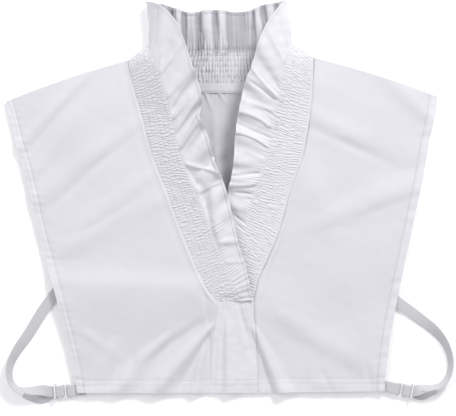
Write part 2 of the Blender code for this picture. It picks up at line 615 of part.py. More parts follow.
def connector(name, ending, collection):
    """A flat slide with three bars: the strap on one, the tab on another."""
    frame = EndFrame(ending)
    mesh = bmesh.new()
    length = 2 * BAR_PITCH + BAR
    rails = [-(CONNECTOR_WIDTH - BAR) / 2, (CONNECTOR_WIDTH - BAR) / 2]
    cells_along = [-length / 2]
    for bar in (-1, 0, 1):
        cells_along += [bar * BAR_PITCH - BAR / 2, bar * BAR_PITCH + BAR / 2]
    cells_along = sorted({round(value, 7) for value in cells_along})
    cells_across = [rails[0] - BAR / 2, rails[0] + BAR / 2, rails[1] - BAR / 2, rails[1] + BAR / 2]
    grid = [
        [mesh.verts.new(frame.point(along, across, BAR_Z - BAR / 2)) for across in cells_across]
        for along in cells_along
    ]
    for row in range(len(cells_along) - 1):
        for cell in range(3):
            if cell == 1 and row % 2 == 1:
                continue
            mesh.faces.new((grid[row][cell], grid[row + 1][cell], grid[row + 1][cell + 1], grid[row][cell + 1]))
    raised = bmesh.ops.extrude_face_region(mesh, geom=mesh.faces[:])["geom"]
    lifted = [element for element in raised if isinstance(element, bmesh.types.BMVert)]
    bmesh.ops.translate(mesh, verts=lifted, vec=Vector((0, 0, BAR)))
    bmesh.ops.recalc_face_normals(mesh, faces=mesh.faces)
    data = bpy.data.meshes.new(name)
    mesh.to_mesh(data)
    mesh.free()
    return place_object(name, data, collection, PLASTIC, PLASTIC_ROUGHNESS)


def slider(name, ending, collection):
    """The adjuster, a wire loop round both runs of the strap."""
    frame = EndFrame(ending)
    curve = bpy.data.curves.new(name, "CURVE")
    curve.dimensions = "3D"
    curve.bevel_depth = SLIDER_WIRE
    curve.bevel_resolution = 1
    half = SLIDER_WIDTH / 2
    corner = SLIDER_WIRE
    low, high = SLIDER_LOW, SLIDER_HIGH
    outline = (
        (-half, low + corner), (-half + corner, low), (half - corner, low), (half, low + corner),
        (half, high - corner), (half - corner, high), (-half + corner, high), (-half, high - corner),
    )
    spline = curve.splines.new("POLY")
    spline.points.add(len(outline) - 1)
    for point, (across, height) in zip(spline.points, outline):
        back = SLIDER_OFFSET + (height - low) * math.tan(SLIDER_LEAN)
        point.co = (*frame.point(-back, across, height), 1.0)
    spline.use_cyclic_u = True
    return place_object(name, curve, collection, PLASTIC, PLASTIC_ROUGHNESS)


def centre_on_origin(collection):
    """Moves every part so that the garment's box stands with its middle over the origin."""
    bpy.context.view_layer.update()
    graph = bpy.context.evaluated_depsgraph_get()
    corners = []
    for part in collection.objects:
        evaluated = part.evaluated_get(graph)
        mesh = evaluated.to_mesh()
        corners += [part.matrix_world @ vertex.co for vertex in mesh.vertices]
        evaluated.to_mesh_clear()
    lowest = [min(corner[axis] for corner in corners) for axis in range(3)]
    highest = [max(corner[axis] for corner in corners) for axis in range(3)]
    shift = Vector((-(lowest[0] + highest[0]) / 2, -(lowest[1] + highest[1]) / 2, 0.0))
    for part in collection.objects:
        part.matrix_world = Matrix.Translation(shift) @ part.matrix_world


def main():
    clear_scene()
    collection = new_collection(COLLECTION_NAME)
    back_panel(collection)
    front_panel("front_left", LEFT_SIDE, LEFT_SECTIONS, -1, collection)
    front_panel("front_right", RIGHT_SIDE, RIGHT_SECTIONS, 1, collection)
    placket(collection)
    neck_binding(collection)
    collar_strip("collar_back", BACK_SECTIONS, BACK_CRESTS, GATHERS_BACK, BACK_BAND_MARGIN, collection)
    collar_strip("collar_right", RIGHT_SECTIONS, RIGHT_CRESTS, GATHERS_FRONT, FRONT_BAND_MARGIN, collection)
    collar_strip("collar_left", LEFT_SECTIONS, LEFT_CRESTS, GATHERS_FRONT, FRONT_BAND_MARGIN, collection)
    sides = (
        ("left", LEFT_STRAP, LEFT_RETURN, LEFT_ENDING),
        ("right", RIGHT_STRAP, RIGHT_RETURN, RIGHT_ENDING),
    )
    for side, run, back_run, ending in sides:
        strap(f"strap_{side}", run, back_run, ending, collection)
        strap_tab(f"strap_tab_{side}", ending, collection)
        connector(f"connector_{side}", ending, collection)
        slider(f"slider_{side}", ending, collection)
    centre_on_origin(collection)


main()
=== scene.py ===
"""Dresses the ruffled false collar, laid flat, in thin creased poplin, shirring, stitches and elastic.

Places in plan are read in pixels of the photograph, x to the right and y down, and PIXEL turns them into
metres. Heights above the table are in millimetres until a shell is made. Every piece rides on the one body.
"""

import logging
import math
from dataclasses import dataclass, replace
from enum import Enum
from typing import NamedTuple, Sequence

import bmesh
import bpy
import numpy as np
from bpy.types import Material, Mesh, Node, NodeSocket, NodeTree, Object
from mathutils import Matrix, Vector


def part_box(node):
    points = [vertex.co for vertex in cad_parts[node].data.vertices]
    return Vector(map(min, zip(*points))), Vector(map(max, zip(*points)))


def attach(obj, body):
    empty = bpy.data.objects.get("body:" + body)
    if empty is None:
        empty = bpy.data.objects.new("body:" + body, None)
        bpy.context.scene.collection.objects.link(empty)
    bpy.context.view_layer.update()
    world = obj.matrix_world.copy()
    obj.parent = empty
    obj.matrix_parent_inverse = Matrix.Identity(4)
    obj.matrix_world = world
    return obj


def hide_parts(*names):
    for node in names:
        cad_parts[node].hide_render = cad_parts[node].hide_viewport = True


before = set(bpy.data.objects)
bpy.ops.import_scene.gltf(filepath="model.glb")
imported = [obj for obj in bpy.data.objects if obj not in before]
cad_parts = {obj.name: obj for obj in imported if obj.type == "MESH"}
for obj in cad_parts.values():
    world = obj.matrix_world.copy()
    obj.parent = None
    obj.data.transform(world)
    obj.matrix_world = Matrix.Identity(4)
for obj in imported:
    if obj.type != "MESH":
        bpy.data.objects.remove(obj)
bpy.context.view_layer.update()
LOG = logging.getLogger("ruffled_collar")

MM = 0.001
PIXEL = 0.41 / 430
IMAGE_WIDTH_PX = 456
CENTRE_PX = (230.4, 201.8)
SHOULDER_TIP_PX = 437.9
PLACKET_FOOT_PX = 392.9
# Down the picture: the head of the placket's pleats, and where its raised head slopes down
PLACKET_HEAD_PX = 299
HEAD_SLOPE_PX = (300, 324)
# Inside the neck, across the picture: its middle, the middle of the ruffle's painted shadow, the gathered
# part of the back, and the part where the back's columns are close
NECK_PX, RUFFLE_SHADOW_PX = 222, 235
GATHERED_PX = (196, 246)
NECK_SPAN_PX = (188, 256)
# And down it: the top of the back, its seam, where its gathers fan out, the band's painted shadow and the
# middle
BACK_TOP_PX, BACK_SEAM_PX, FAN_PX, BAND_SHADOW_PX, NECK_DOWN_PX = 80, 88, 90, 92, 130

Array = np.ndarray
Colour = tuple[float, float, float]

POPLIN_WHITE: Colour = (0.74, 0.735, 0.768)
# Painted shade: the poplin's colour where painted shade is deepest
POPLIN_PAINTED_SHADE: Colour = (0.42, 0.415, 0.45)
ELASTIC_WHITE: Colour = (0.65, 0.65, 0.665)
# Painted shade: the elastic's colour in the grooves between its ribs
ELASTIC_PAINTED_SHADE: Colour = (0.46, 0.46, 0.475)
PLASTIC_WHITE: Colour = (0.86, 0.86, 0.87)
THREAD_WHITE: Colour = (0.8, 0.79, 0.82)
FLOOR_WHITE: Colour = (0.96, 0.96, 0.965)
SKY_WHITE: Colour = (0.96, 0.97, 1.0)

# Lowest underside of the fronts and the placket in the solids, and of any cloth over the back here
FRONT_LOW_MM = 1.5
OVER_BACK = 0.0019
# How far a thread's middle lies above the cloth, in metres
THREAD_LIFT = 0.00012


class Slot(Enum):
    """The record's material slots."""

    POPLIN = "poplin"
    ELASTIC = "elastic"
    PLASTIC = "clear_plastic"


class Hand(Enum):
    """Which side of the picture a piece is on; the value points away from the placket."""

    LEFT = -1
    RIGHT = 1


class Section(NamedTuple):
    """A collar strip's cross-section in pixels and millimetres: seam, last shirring row, free edge, bow."""

    seam_x: float
    seam_y: float
    seam_z: float
    root_x: float
    root_y: float
    root_z: float
    edge_x: float
    edge_y: float
    edge_z: float
    bow: float


class Crest(NamedTuple):
    """A wave of a ruffle: its crest as a share of the strip's length, and its rise."""

    place: float
    rise: float


class Side(NamedTuple):
    """A place on a front's free side, how high it lies, and how high the seam side lies across from it."""

    x: float
    y: float
    side_z: float
    seam_z: float


class Placket(NamedTuple):
    """The placket's two edges at one height."""

    y: float
    left_x: float
    right_x: float
    z: float


class Crease(NamedTuple):
    """A soft fold from its head to its foot; a height under zero is a trough.

    Skew steepens its lower side, and bow, in pixels, bends its middle to that side.
    """

    head_x: float
    head_y: float
    foot_x: float
    foot_y: float
    head_width: float
    foot_width: float
    head_height: float
    foot_height: float
    skew: float = 0.0
    bow: float = 0.0


class Place(NamedTuple):
    """A place on a strap: its centre, how far its outer edge is tipped up, and its lift."""

    x: float
    y: float
    lean: float
    lift: float


class Ending(NamedTuple):
    """Where a strap meets its connector."""

    x: float
    y: float
    degrees: float
    tab_length_px: float
    outer_hand: int


def rows_of(kind: type, *rows: tuple[float, ...]) -> tuple:
    """A table's rows, each as the given kind."""
    return tuple(kind(*row) for row in rows)


LEFT_SECTIONS = rows_of(
    Section,
    (128.3, 60.2, 4, 149, 46, 9.2, 146.6, 1.8, 9.2, 1.4),
    (129.3, 67.5, 4.2, 150.5, 52, 15, 152, 2.6, 16, 1.4),
    (131, 78, 4.2, 156, 64, 19.5, 163, 8, 23.5, 0.8),
    (134, 92, 4.2, 162, 82, 19.5, 179, 27, 26, 0),
    (137, 102, 4.2, 166, 97, 18, 190, 57, 25, 0),
    (142, 120, 4.2, 171, 114, 16.5, 197, 79, 23, 0),
    (146, 136, 4.2, 174, 129, 15.5, 202, 98, 21, 0),
    (150, 150, 4.2, 178, 146, 14.5, 201, 116, 19, 0),
    (156, 168, 4.2, 184, 166, 13.5, 208, 137, 17.5, 0),
    (163, 185, 4.2, 191, 183, 12.5, 215, 161, 16, 0),
    (172, 210, 4.2, 201, 205, 11.5, 225, 186, 14, 0),
    (185, 243, 4.2, 212, 232, 10.5, 233, 218, 12.5, 0),
    (196, 270, 4.2, 221, 256, 10, 239, 245, 11.5, 0),
    (206, 290, 4.2, 230, 278, 9.6, 246, 267, 10.8, 0),
    (215, 301.5, 4.2, 240, 300.5, 9, 253, 300, 9.6, 0),
)
RIGHT_SECTIONS = rows_of(
    Section,
    (313.4, 57.6, 4, 291.3, 44.6, 9.2, 285, 0.8, 9.2, 1.2),
    (313.2, 66.5, 4.2, 289, 51, 15, 281, 4.5, 17, 1.4),
    (312.6, 80, 4.2, 285, 65, 19.5, 266, 25, 25, 1),
    (311.4, 102, 4.2, 280, 93, 18, 252, 64, 25, 0),
    (309, 122, 4.2, 276, 112, 15.5, 244, 86, 21, 0),
    (306, 140, 4.2, 273, 131, 13.5, 238, 114, 19, 0),
    (303, 155, 4.2, 270, 151, 12.5, 235, 136, 17, 0),
    (297, 172, 4.2, 265, 167, 11.5, 233.5, 161, 15, 0),
    (290, 190, 4.2, 259, 182, 10.5, 231, 178, 12.5, 0),
    (285, 210, 4.2, 254, 198, 9, 228, 188, 9.5, 0),
    (278, 234, 4.2, 249, 220, 7.2, 228, 206, 7, 0),
    (266, 262, 4.2, 243, 250, 6.4, 226, 242, 6.2, 0),
    (257, 283, 4.2, 239, 277, 6, 228, 274, 5.8, 0),
    (254, 301, 4.2, 240, 300.5, 5.6, 232, 300, 5.6, 0),
)
BACK_SECTIONS = rows_of(
    Section,
    (128.3, 60.2, 1.3, 149, 46, 8.4, 146.6, 1.8, 8.4, 1.4),
    (131, 66.5, 0.7, 150.5, 49, 3.5, 149.5, 2.6, 3.5, 1.4),
    (141, 74.5, 0.6, 158, 52, 0.8, 160, 3.6, 1, 0.6),
    (160, 83, 0.6, 172, 52, 0.6, 175, 8, 0.6, 0),
    (185, 87.5, 0.6, 192, 51, 0.6, 191, 12.4, 0.6, 0),
    (205, 88.5, 0.6, 207, 50, 0.6, 206, 10.2, 0.6, 0),
    (222, 88.7, 0.6, 222, 50, 0.6, 221, 9.8, 0.6, 0),
    (238, 88.3, 0.6, 236, 50, 0.6, 234, 12, 0.6, 0),
    (256, 87, 0.6, 250, 50, 0.6, 248, 10.8, 0.6, 0),
    (284, 82, 0.6, 268, 51, 0.6, 263, 4.6, 0.6, 0),
    (302, 73, 0.6, 282, 49, 0.8, 277, 2.4, 1, 1),
    (311, 63, 0.7, 289.5, 46.5, 3.5, 283.5, 1, 3.5, 1.2),
    (313.4, 57.6, 1.3, 291.3, 44.6, 8.4, 285, 0.8, 8.4, 1.2),
)
LEFT_CRESTS = rows_of(
    Crest,
    (0.06, 1), (0.14, 3), (0.22, 6), (0.30, 8), (0.39, 7), (0.47, 8), (0.55, 4.5), (0.63, 3),
    (0.71, 2.4), (0.79, 1.6), (0.87, 1), (0.95, 0.5),
)
RIGHT_CRESTS = rows_of(
    Crest,
    (0.06, 1), (0.14, 3.6), (0.24, 5), (0.32, 4.6), (0.395, 4.2), (0.47, 3.8), (0.53, 2.4), (0.60, 1.5),
    (0.68, 1), (0.77, 1), (0.86, 1), (0.95, 0.6),
)
BACK_CRESTS = rows_of(
    Crest,
    (0.11, 3), (0.21, 7), (0.31, 3.6), (0.43, 9.6), (0.515, 5.4), (0.60, 0.5), (0.68, 2.4), (0.76, 6),
    (0.86, 6.4), (0.94, 3.6),
)
LEFT_SIDE = rows_of(
    Side,
    (5.2, 101.6, 1.5, 2.4), (10.9, 123, 2.2, 3.5), (16.9, 147, 2.4, 3.5), (23.9, 170, 2.5, 3.5),
    (30.4, 197, 2.6, 3.5), (36.8, 227, 2.7, 3.5), (43.6, 253, 2.8, 3.5), (50.4, 277, 3, 3.5),
    (56.6, 299, 3, 3.4), (62.2, 322, 2.8, 3.2), (68.4, 347, 3.2, 2.2), (74.8, 377, 4, 2),
    (77.2, 393, 4.2, 2),
)
RIGHT_SIDE = rows_of(
    Side,
    (437.9, 96.8, 1.5, 2.4), (433.6, 122, 2.2, 3.5), (428.2, 147, 2.4, 3.5), (423.5, 175, 2.5, 3.5),
    (417.4, 204, 2.6, 3.5), (411, 234, 2.7, 3.5), (405, 262, 2.8, 3.5), (400.4, 284, 3, 3.5),
    (396.6, 303, 3, 3.4), (392.4, 325, 2.8, 3.2), (388.9, 348, 3.2, 2.2), (385.4, 377, 4, 2),
    (384.6, 391, 4.2, 2),
)
PLACKET = rows_of(
    Placket,
    (298, 216.6, 253, 1.7), (305, 216.4, 253.6, 1.8), (318, 215.4, 254.2, 2.2), (345, 213.4, 256.4, 2),
    (370, 211.6, 257.2, 2), (392.9, 212, 257.4, 2),
)

# The large folds of the fronts and the placket: the solids hold most of them too
MAIN_FOLDS = rows_of(
    Crease,
    (20, 145, 78, 84, 6, 6, 1.7, 1.7),
    (44, 162, 72, 122, 6, 6, 0.9, 0.9),
    (46, 192, 93, 154, 11, 10, 1.8, 1.7),
    (93, 154, 133, 127, 10, 8, 1.7, 0.9),
    (98, 214, 142, 181, 9, 8, 1.3, 1),
    (84, 240, 152, 203, 10, 8, 1.4, 1),
    (66, 286, 186, 290, 30, 26, 4.2, 3.4, -0.8),
    (208, 330, 164, 380, 4, 9, 3.4, 5.4),
    (197, 326, 138, 368, 4, 7, -1.2, -1.6),
    (204, 344, 195, 390, 3, 5, 1.6, 3.2),
    (209, 338, 209, 394, 1.6, 2.2, -1, -1.6),
    (180, 322, 127, 378, 4, 9, 0.6, 4.6),
    (110, 352, 96, 386, 9, 10, 1.6, 2),
    (395, 84, 430, 118, 10, 9, 1.8, 1.4),
    (314, 115, 350, 135, 8, 11, 1.2, 1.5),
    (350, 135, 396, 152, 11, 14, 1.5, 0.8),
    (342, 213, 402, 190, 13, 13, 2.2, 2.4),
    (302, 158, 326, 214, 14, 16, 1.2, 1.2),
    (268, 304, 316, 338, 10, 13, 1.2, 1.7),
    (316, 338, 366, 364, 13, 13, 1.7, 0.9),
    (257, 334, 281, 390, 4, 8, 2.8, 5.4),
    (253, 338, 270, 390, 3, 5, -1.6, -2.4),
    (227, 306, 228, 390, 4, 7.5, 2.6, 3.8, 0.5),
    (222, 306, 219, 352, 3, 4, 0.9, 0.6),
    (254, 318, 257, 345, 2.5, 3, 0.8, 1.4),
)
# Finer creases of the fronts
FRONT_CREASES = rows_of(
    Crease,
    (28, 152, 66, 106, 3, 4, -0.5, -0.6),
    (58, 200, 98, 164, 4, 5, -0.6, -0.7),
    (98, 164, 128, 140, 4, 4, -0.6, -0.4),
    (116, 226, 148, 204, 5, 5, -0.5, -0.4),
    (92, 338, 112, 352, 4, 5, 0.7, 0.4),
    (210, 342, 209, 390, 1.2, 1.4, -0.9, -1.3),
    (204, 292, 208, 318, 2, 2.4, -0.8, -0.6),
    (184, 378, 207, 340, 3, 2.4, -1, -0.6),
    (178, 330, 150, 352, 4, 5, 0.5, 0.4),
    (316, 130, 352, 146, 4, 5, -0.7, -0.6),
    (352, 146, 386, 162, 5, 5, -0.6, -0.4),
    (372, 212, 400, 202, 4, 5, -0.5, -0.5),
    (272, 326, 344, 368, 6, 7, -0.4, -0.6),
    (262, 292, 280, 232, 2.4, 2.4, 0.7, 0.6),
    (298, 166, 304, 118, 2.2, 2.2, 0.4, 0.4),
    (324, 376, 332, 392, 3, 3, -0.7, -0.5),
    (368, 372, 372, 392, 3, 3, -0.9, -0.7),
    (132, 366, 128, 392, 4, 4, -0.9, -0.7),
)
PLACKET_CREASES = rows_of(
    Crease,
    (238, 303, 251, 350, 2.2, 3.2, -1.9, -1.3),
    (216, 310, 214, 388, 2.4, 2.8, -0.8, -0.8),
    (221, 302, 219, 330, 2.2, 3, -1, -0.6),
    (230, 303, 232, 322, 2, 3, 0.8, 0.3),
    (246, 302, 249, 316, 1.2, 1.4, 0.6, 0.2),
    (224, 356, 222, 384, 4, 5, -0.5, -0.6),
)
LEFT_RUFFLE_CREASES = rows_of(
    Crease,
    (157, 70, 169, 48, 1.4, 3, -1.2, -0.7),
    (160, 76, 176, 54, 1.6, 3, 1.6, 0.8, 0.5),
    (152, 50, 158, 22, 1.8, 4.5, -0.5, -0.4),
    (162, 62, 171, 30, 1.8, 4.5, 1, 0.8, 0.4),
    (166, 100, 192, 70, 2.4, 4.5, 1.8, 1.2, 0.4),
    (168, 118, 184, 93, 2, 2.6, -1.3, -1.1),
    (170, 124, 190, 100, 1.4, 2.4, 2.2, 1.6, 0.6),
    (172, 148, 183, 128, 1.8, 2.4, -1.3, -1),
    (172, 138, 192, 108, 1.6, 2.4, 2, 1.6, 0.6),
    (176, 158, 196, 130, 1.8, 2.4, -1.5, -1.1),
    (177, 154, 199, 119, 1.5, 2.4, 2.4, 2.6, -0.6),
    (199, 118, 205, 109, 1.8, 1.6, 1.6, 1.8, 0.7),
    (184, 172, 200, 186, 5.5, 4.5, -2, -1.6),
    (200, 176, 213, 150, 2.4, 3, 1.2, 1),
    (188, 165, 216, 172, 1.8, 2.2, 1.7, 1.7, 0.6),
    (215, 162, 223, 178, 1.4, 1.6, 1.8, 1.6, -0.5),
    (203, 200, 206, 226, 4.8, 4.8, -2.2, -2),
    (199, 192, 213, 186, 3.4, 3.4, 1.8, 1.8, 0.5),
    (213, 198, 216, 230, 5, 6, 2.6, 2.4, 0.35),
    (213, 242, 238, 241, 3.6, 3.6, 2, 1.6),
    (224, 263, 246, 261, 2.6, 2.6, 0.9, 0.7, 0.5),
)
RIGHT_RUFFLE_CREASES = rows_of(
    Crease,
    (250, 68, 283, 102, 2.4, 1.5, 2.8, 1.8, -0.6, 1.5),
    (254, 85, 281, 104, 2, 1.4, -1.6, -1.6),
    (255, 56, 277, 86, 7, 3.4, -2.8, -1.8),
    (270, 36, 288, 72, 4, 2, 1.2, 1.2, 0.3),
    (279, 22, 291, 62, 3.6, 1.8, -0.8, -1),
    (237, 112, 273, 130, 2, 1.4, 1.5, 1.4, 0.8, -3),
    (240, 100, 276, 112, 3.4, 1.8, 1.2, 1),
    (236, 133, 271, 150, 2, 1.4, 1.5, 1.4, 0.8, -2.6),
    (238, 125, 273, 140, 2, 1.4, -0.8, -0.8),
    (235, 176, 262, 173, 2.4, 1.8, -1.6, -1.6),
    (229, 184, 262, 182, 4.4, 2.6, 2.4, 1.8, 0.7, 2),
    (240, 193, 262, 195, 1.6, 1.4, -1.5, -1.5),
    (229, 205, 252, 209, 6, 4, 1.8, 1.2),
    (249, 200, 260, 205, 1.2, 1.2, -1, -1.2),
    (238, 218, 247, 225, 1.4, 1.4, -1.4, -1.2),
    (240, 227, 247, 233, 1.2, 1.2, -1, -0.9),
    (264, 160, 242, 150, 1.6, 4, 0.8, 0.5),
)
BACK_RUFFLE_CREASES = rows_of(
    Crease,
    (249, 52, 250, 14, 1.2, 2, 1.6, 1.5),
    (258, 48, 262, 24, 1.2, 2.2, 1, 0.8),
    (200, 52, 206, 12, 1.4, 2.4, 1.4, 1.8, 0.5),
    (226, 52, 221, 14, 1.4, 2.4, 1.2, 1),
    (240, 52, 237, 26, 1, 2, 1, 0.3),
    (234, 52, 233, 34, 1, 1.8, 0.8, 0.2),
    (187, 52, 186, 34, 1, 1.8, 0.8, 0.2),
    (178, 40, 177, 8, 2.2, 2.4, 2.4, 2.4),
)
BACK_CREASES = rows_of(
    Crease,
    (205, 93, 213, 112, 1.4, 2.6, 1, 0.4),
    (212, 93, 222, 108, 1.2, 2.4, -0.9, -0.3),
    (219, 93, 228, 106, 1.2, 2.2, 0.9, 0.3),
    (228, 93, 231, 110, 1.2, 2.4, -0.7, -0.2),
    (214, 120, 217, 184, 4, 3, 0.8, 0.8),
    (224, 112, 224, 176, 3, 3, -0.6, -0.4),
)

LEFT_STRAP = rows_of(
    Place,
    (68.5, 277, 0, 1.5), (62, 285, 0, 1.5), (54.6, 294.4, 0, 1.5), (43, 310.4, 0, 1),
    (27.8, 335, 12, 0.1), (17, 350.6, 32, 0.1), (11.2, 362, 47, 0.1), (9.2, 373, 57, 0.1),
    (12, 384, 60, 0.1), (19, 390.2, 58, 0.1), (27, 391, 50, 0.1), (36, 390.4, 40, 0.2),
    (43, 390.4, 16, 2.2), (49, 391.4, 0, 3.4), (55, 391.7, 0, 3.6),
)
LEFT_RETURN = rows_of(
    Place,
    (57.4, 391.9, 0, 2), (52.5, 392.6, 0, 2), (44.5, 397.4, -8, 0.1), (37, 398.6, -36, 0.1),
    (29.5, 397.4, -52, 0.1), (23.5, 395, -58, 0.1),
)
RIGHT_STRAP = rows_of(
    Place,
    (384.6, 288.6, 0, 1.5), (390.2, 295.8, 0, 1.5), (397.8, 302.2, 0, 1.5), (409.4, 310.6, 0, 1),
    (421.4, 319.8, 8, 0.1), (433.2, 329, 26, 0.1), (443.2, 340.6, 44, 0.1), (449.2, 354, 57, 0.1),
    (450.6, 366, 63, 0.1), (447.4, 377.4, 64, 0.1), (440, 385.6, 61, 0.1), (429.5, 388.4, 54, 0.1),
    (422, 389.4, 36, 0.6), (417.4, 390.5, 8, 2.6), (413, 391.2, 0, 3.4), (408, 390.9, 0, 3.6),
)
RIGHT_RETURN = rows_of(
    Place,
    (408.6, 390.9, 0, 2), (413.4, 391.6, 0, 2), (419, 394.6, -8, 0.1), (425.5, 394.8, -44, 0.1),
    (431.5, 393, -60, 0.1), (436.5, 391, -63, 0.1),
)
LEFT_ENDING = Ending(65.3, 391.0, 4, 12.5, 1)
RIGHT_ENDING = Ending(401.5, 389.6, 169, 17.5, -1)

UP = np.array([0.0, 0.0, 1.0])
# How many times slower a crease fades at its ends than across
END_STRETCH = 3.0
# How much a crease's skew narrows its lower side
SKEW_SHARE = 0.6


# Plain working functions


def smooth(knots: Array, values: Array, wanted: Array) -> Array:
    """Cubic curve through values at knots.

    Args:
        knots: Rising places of the values.
        values: One row for each knot.
        wanted: Places to read the curve at.

    Returns:
        One row for each wanted place.
    """
    knots, values, wanted = (np.asarray(part, float) for part in (knots, values, wanted))
    slopes = np.gradient(values, knots, axis=0)
    first = np.clip(np.searchsorted(knots, wanted, side="right") - 1, 0, len(knots) - 2)
    span = knots[first + 1] - knots[first]
    t = ((wanted - knots[first]) / span)[:, None]
    span = span[:, None]
    start = (2 * t**3 - 3 * t**2 + 1) * values[first] + (t**3 - 2 * t**2 + t) * span * slopes[first]
    end = (3 * t**2 - 2 * t**3) * values[first + 1] + (t**3 - t**2) * span * slopes[first + 1]
    return start + end


def lengths(points: Array) -> Array:
    """Distance along a chain of points, from its first."""
    steps = np.linalg.norm(np.diff(points, axis=0), axis=1)
    return np.concatenate([[0.0], np.cumsum(steps)])


def on_chain(wanted: Array, knots: Array, points: Array) -> Array:
    """Places on the straight runs of a chain of points, across and down."""
    return np.column_stack([np.interp(wanted, knots, points[:, axis]) for axis in (0, 1)])


def ease(low: float, high: float, value: Array) -> Array:
    """Smooth step from 0 at low to 1 at high."""
    t = np.clip((value - low) / (high - low), 0, 1)
    return t * t * (3 - 2 * t)


def hump(away: Array, width: float) -> Array:
    """Bell of height 1 and the given half width."""
    return np.exp(-((away / width) ** 2))


def grid_normals(surface: Array) -> Array:
    """Unit normals of a grid of points, on its upper side."""
    rows, columns = np.gradient(surface, axis=(0, 1))
    cross = np.cross(columns, rows)
    cross /= np.maximum(np.linalg.norm(cross, axis=-1, keepdims=True), 1e-12)
    return cross if cross[..., 2].mean() > 0 else -cross


def softened(surface: Array, rounds: int) -> Array:
    """The grid with its rows smoothed across the strip, its two outer rows held."""
    made = surface.copy()
    for _ in range(rounds):
        made[1:-1] = (made[:-2] + 2 * made[1:-1] + made[2:]) / 4
    return made


@dataclass(frozen=True)
class Plan:
    """Turns places in the photograph into metres in the model's frame.

    Attributes:
        east: Shift of the model along X.
        north: Shift of the model along Y.
    """

    east: float
    north: float

    @classmethod
    def from_frame(cls) -> "Plan":
        """Reads the model's shift from the right shoulder tip and the placket's foot."""
        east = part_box("front_right")[1].x - (SHOULDER_TIP_PX - CENTRE_PX[0]) * PIXEL
        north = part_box("placket")[0].y - (CENTRE_PX[1] - PLACKET_FOOT_PX) * PIXEL
        return cls(east, north)

    def metres(self, x: Array, y: Array, z_mm: Array) -> Array:
        """Points in metres from pixels and a height in millimetres."""
        east = (np.asarray(x) - CENTRE_PX[0]) * PIXEL + self.east
        north = (CENTRE_PX[1] - np.asarray(y)) * PIXEL + self.north
        east, north, height = np.broadcast_arrays(east, north, np.asarray(z_mm) * MM)
        return np.stack([east, north, height], axis=-1)

    def pixels(self, points: Array) -> tuple[Array, Array]:
        """Pixels across and down of points in metres."""
        x = (points[..., 0] - self.east) / PIXEL + CENTRE_PX[0]
        y = CENTRE_PX[1] - (points[..., 1] - self.north) / PIXEL
        return x, y


PLAN = Plan.from_frame()


def crease_heights(creases: Sequence[Crease], x: Array, y: Array) -> Array:
    """Rise of soft folds at places in the photograph; ridges merge and troughs add up.

    Args:
        creases: The folds.
        x: Pixels across.
        y: Pixels down.

    Returns:
        Heights in millimetres.
    """
    ridges = np.zeros(np.broadcast(x, y).shape)
    troughs = np.zeros_like(ridges)
    for crease in creases:
        run_x, run_y = crease.foot_x - crease.head_x, crease.foot_y - crease.head_y
        length = math.hypot(run_x, run_y)
        along = ((x - crease.head_x) * run_x + (y - crease.head_y) * run_y) / length
        share = np.clip(along / length, 0, 1)
        side = 1 if run_x >= 0 else -1
        lower = ((y - crease.head_y) * run_x - (x - crease.head_x) * run_y) / length * side
        lower = lower - crease.bow * 4 * share * (1 - share)
        away = np.hypot(lower, (along - share * length) / END_STRETCH)
        width = crease.head_width + (crease.foot_width - crease.head_width) * share
        width = width * (1 - SKEW_SHARE * crease.skew * lower / np.maximum(away, 1e-6))
        height = crease.head_height + (crease.foot_height - crease.head_height) * share
        rise = height * np.exp(-((away / width) ** 2))
        ridges = np.maximum(ridges, rise)
        troughs += np.minimum(rise, 0)
    return ridges + troughs


@dataclass(frozen=True)
class Ripples:
    """Soft unevenness of laid cloth, a sum of slow waves in all directions.

    Attributes:
        seed: Fixes the waves.
        count: How many waves.
        shortest: Shortest wave in millimetres.
        longest: Longest wave in millimetres.
        height: About how high the sum stands, in millimetres.
    """

    seed: int
    count: int
    shortest: float
    longest: float
    height: float

    def at(self, points: Array) -> Array:
        """Heights in millimetres at points in metres."""
        draw = np.random.default_rng(self.seed)
        total = np.zeros(points.shape[:-1])
        for _ in range(self.count):
            wave = math.exp(draw.uniform(math.log(self.shortest), math.log(self.longest))) * MM
            angle, phase = draw.uniform(0, math.tau, 2)
            along = points[..., 0] * math.cos(angle) + points[..., 1] * math.sin(angle)
            total += math.sqrt(wave / (self.longest * MM)) * np.sin(along * math.tau / wave + phase)
        return total * self.height / math.sqrt(self.count)

    def reseeded(self, shift: int) -> "Ripples":
        """Waves of the same sort from another seed."""
        return replace(self, seed=self.seed + shift)


RUFFLE_SWELL = Ripples(seed=7, count=26, shortest=7, longest=34, height=0.28)
FRONT_SWELL = Ripples(seed=31, count=40, shortest=45, longest=150, height=0.8)
FRONT_GRAIN = Ripples(seed=35, count=30, shortest=9, longest=26, height=0.07)
SIDE_PUCKERS = Ripples(seed=77, count=14, shortest=5, longest=16, height=0.34)
FOOT_PUCKERS = Ripples(seed=83, count=14, shortest=5, longest=15, height=0.42)
PLACKET_SWELL = Ripples(seed=53, count=26, shortest=8, longest=40, height=0.3)
PLACKET_PUCKERS = Ripples(seed=59, count=14, shortest=5, longest=14, height=0.3)
BACK_SWELL = Ripples(seed=67, count=20, shortest=8, longest=40, height=1.0)
BINDING_PUCKERS = Ripples(seed=71, count=24, shortest=3, longest=9, height=0.16)


# Finishes

SHADER = "Principled BSDF"
BAND_MAP = "band"
# The attribute that carries each shell's painted shade
SHADE_ATTRIBUTE = "shade"
# The Wave Texture node draws this many radians of its wave for each unit of length at scale 1
WAVE_NODE_BANDS = 20


def set_inputs(node: Node, values: dict[str, object]) -> None:
    """Sets a node's inputs by name, with spaces as underscores."""
    for key, value in values.items():
        node.inputs[key.replace("_", " ")].default_value = value


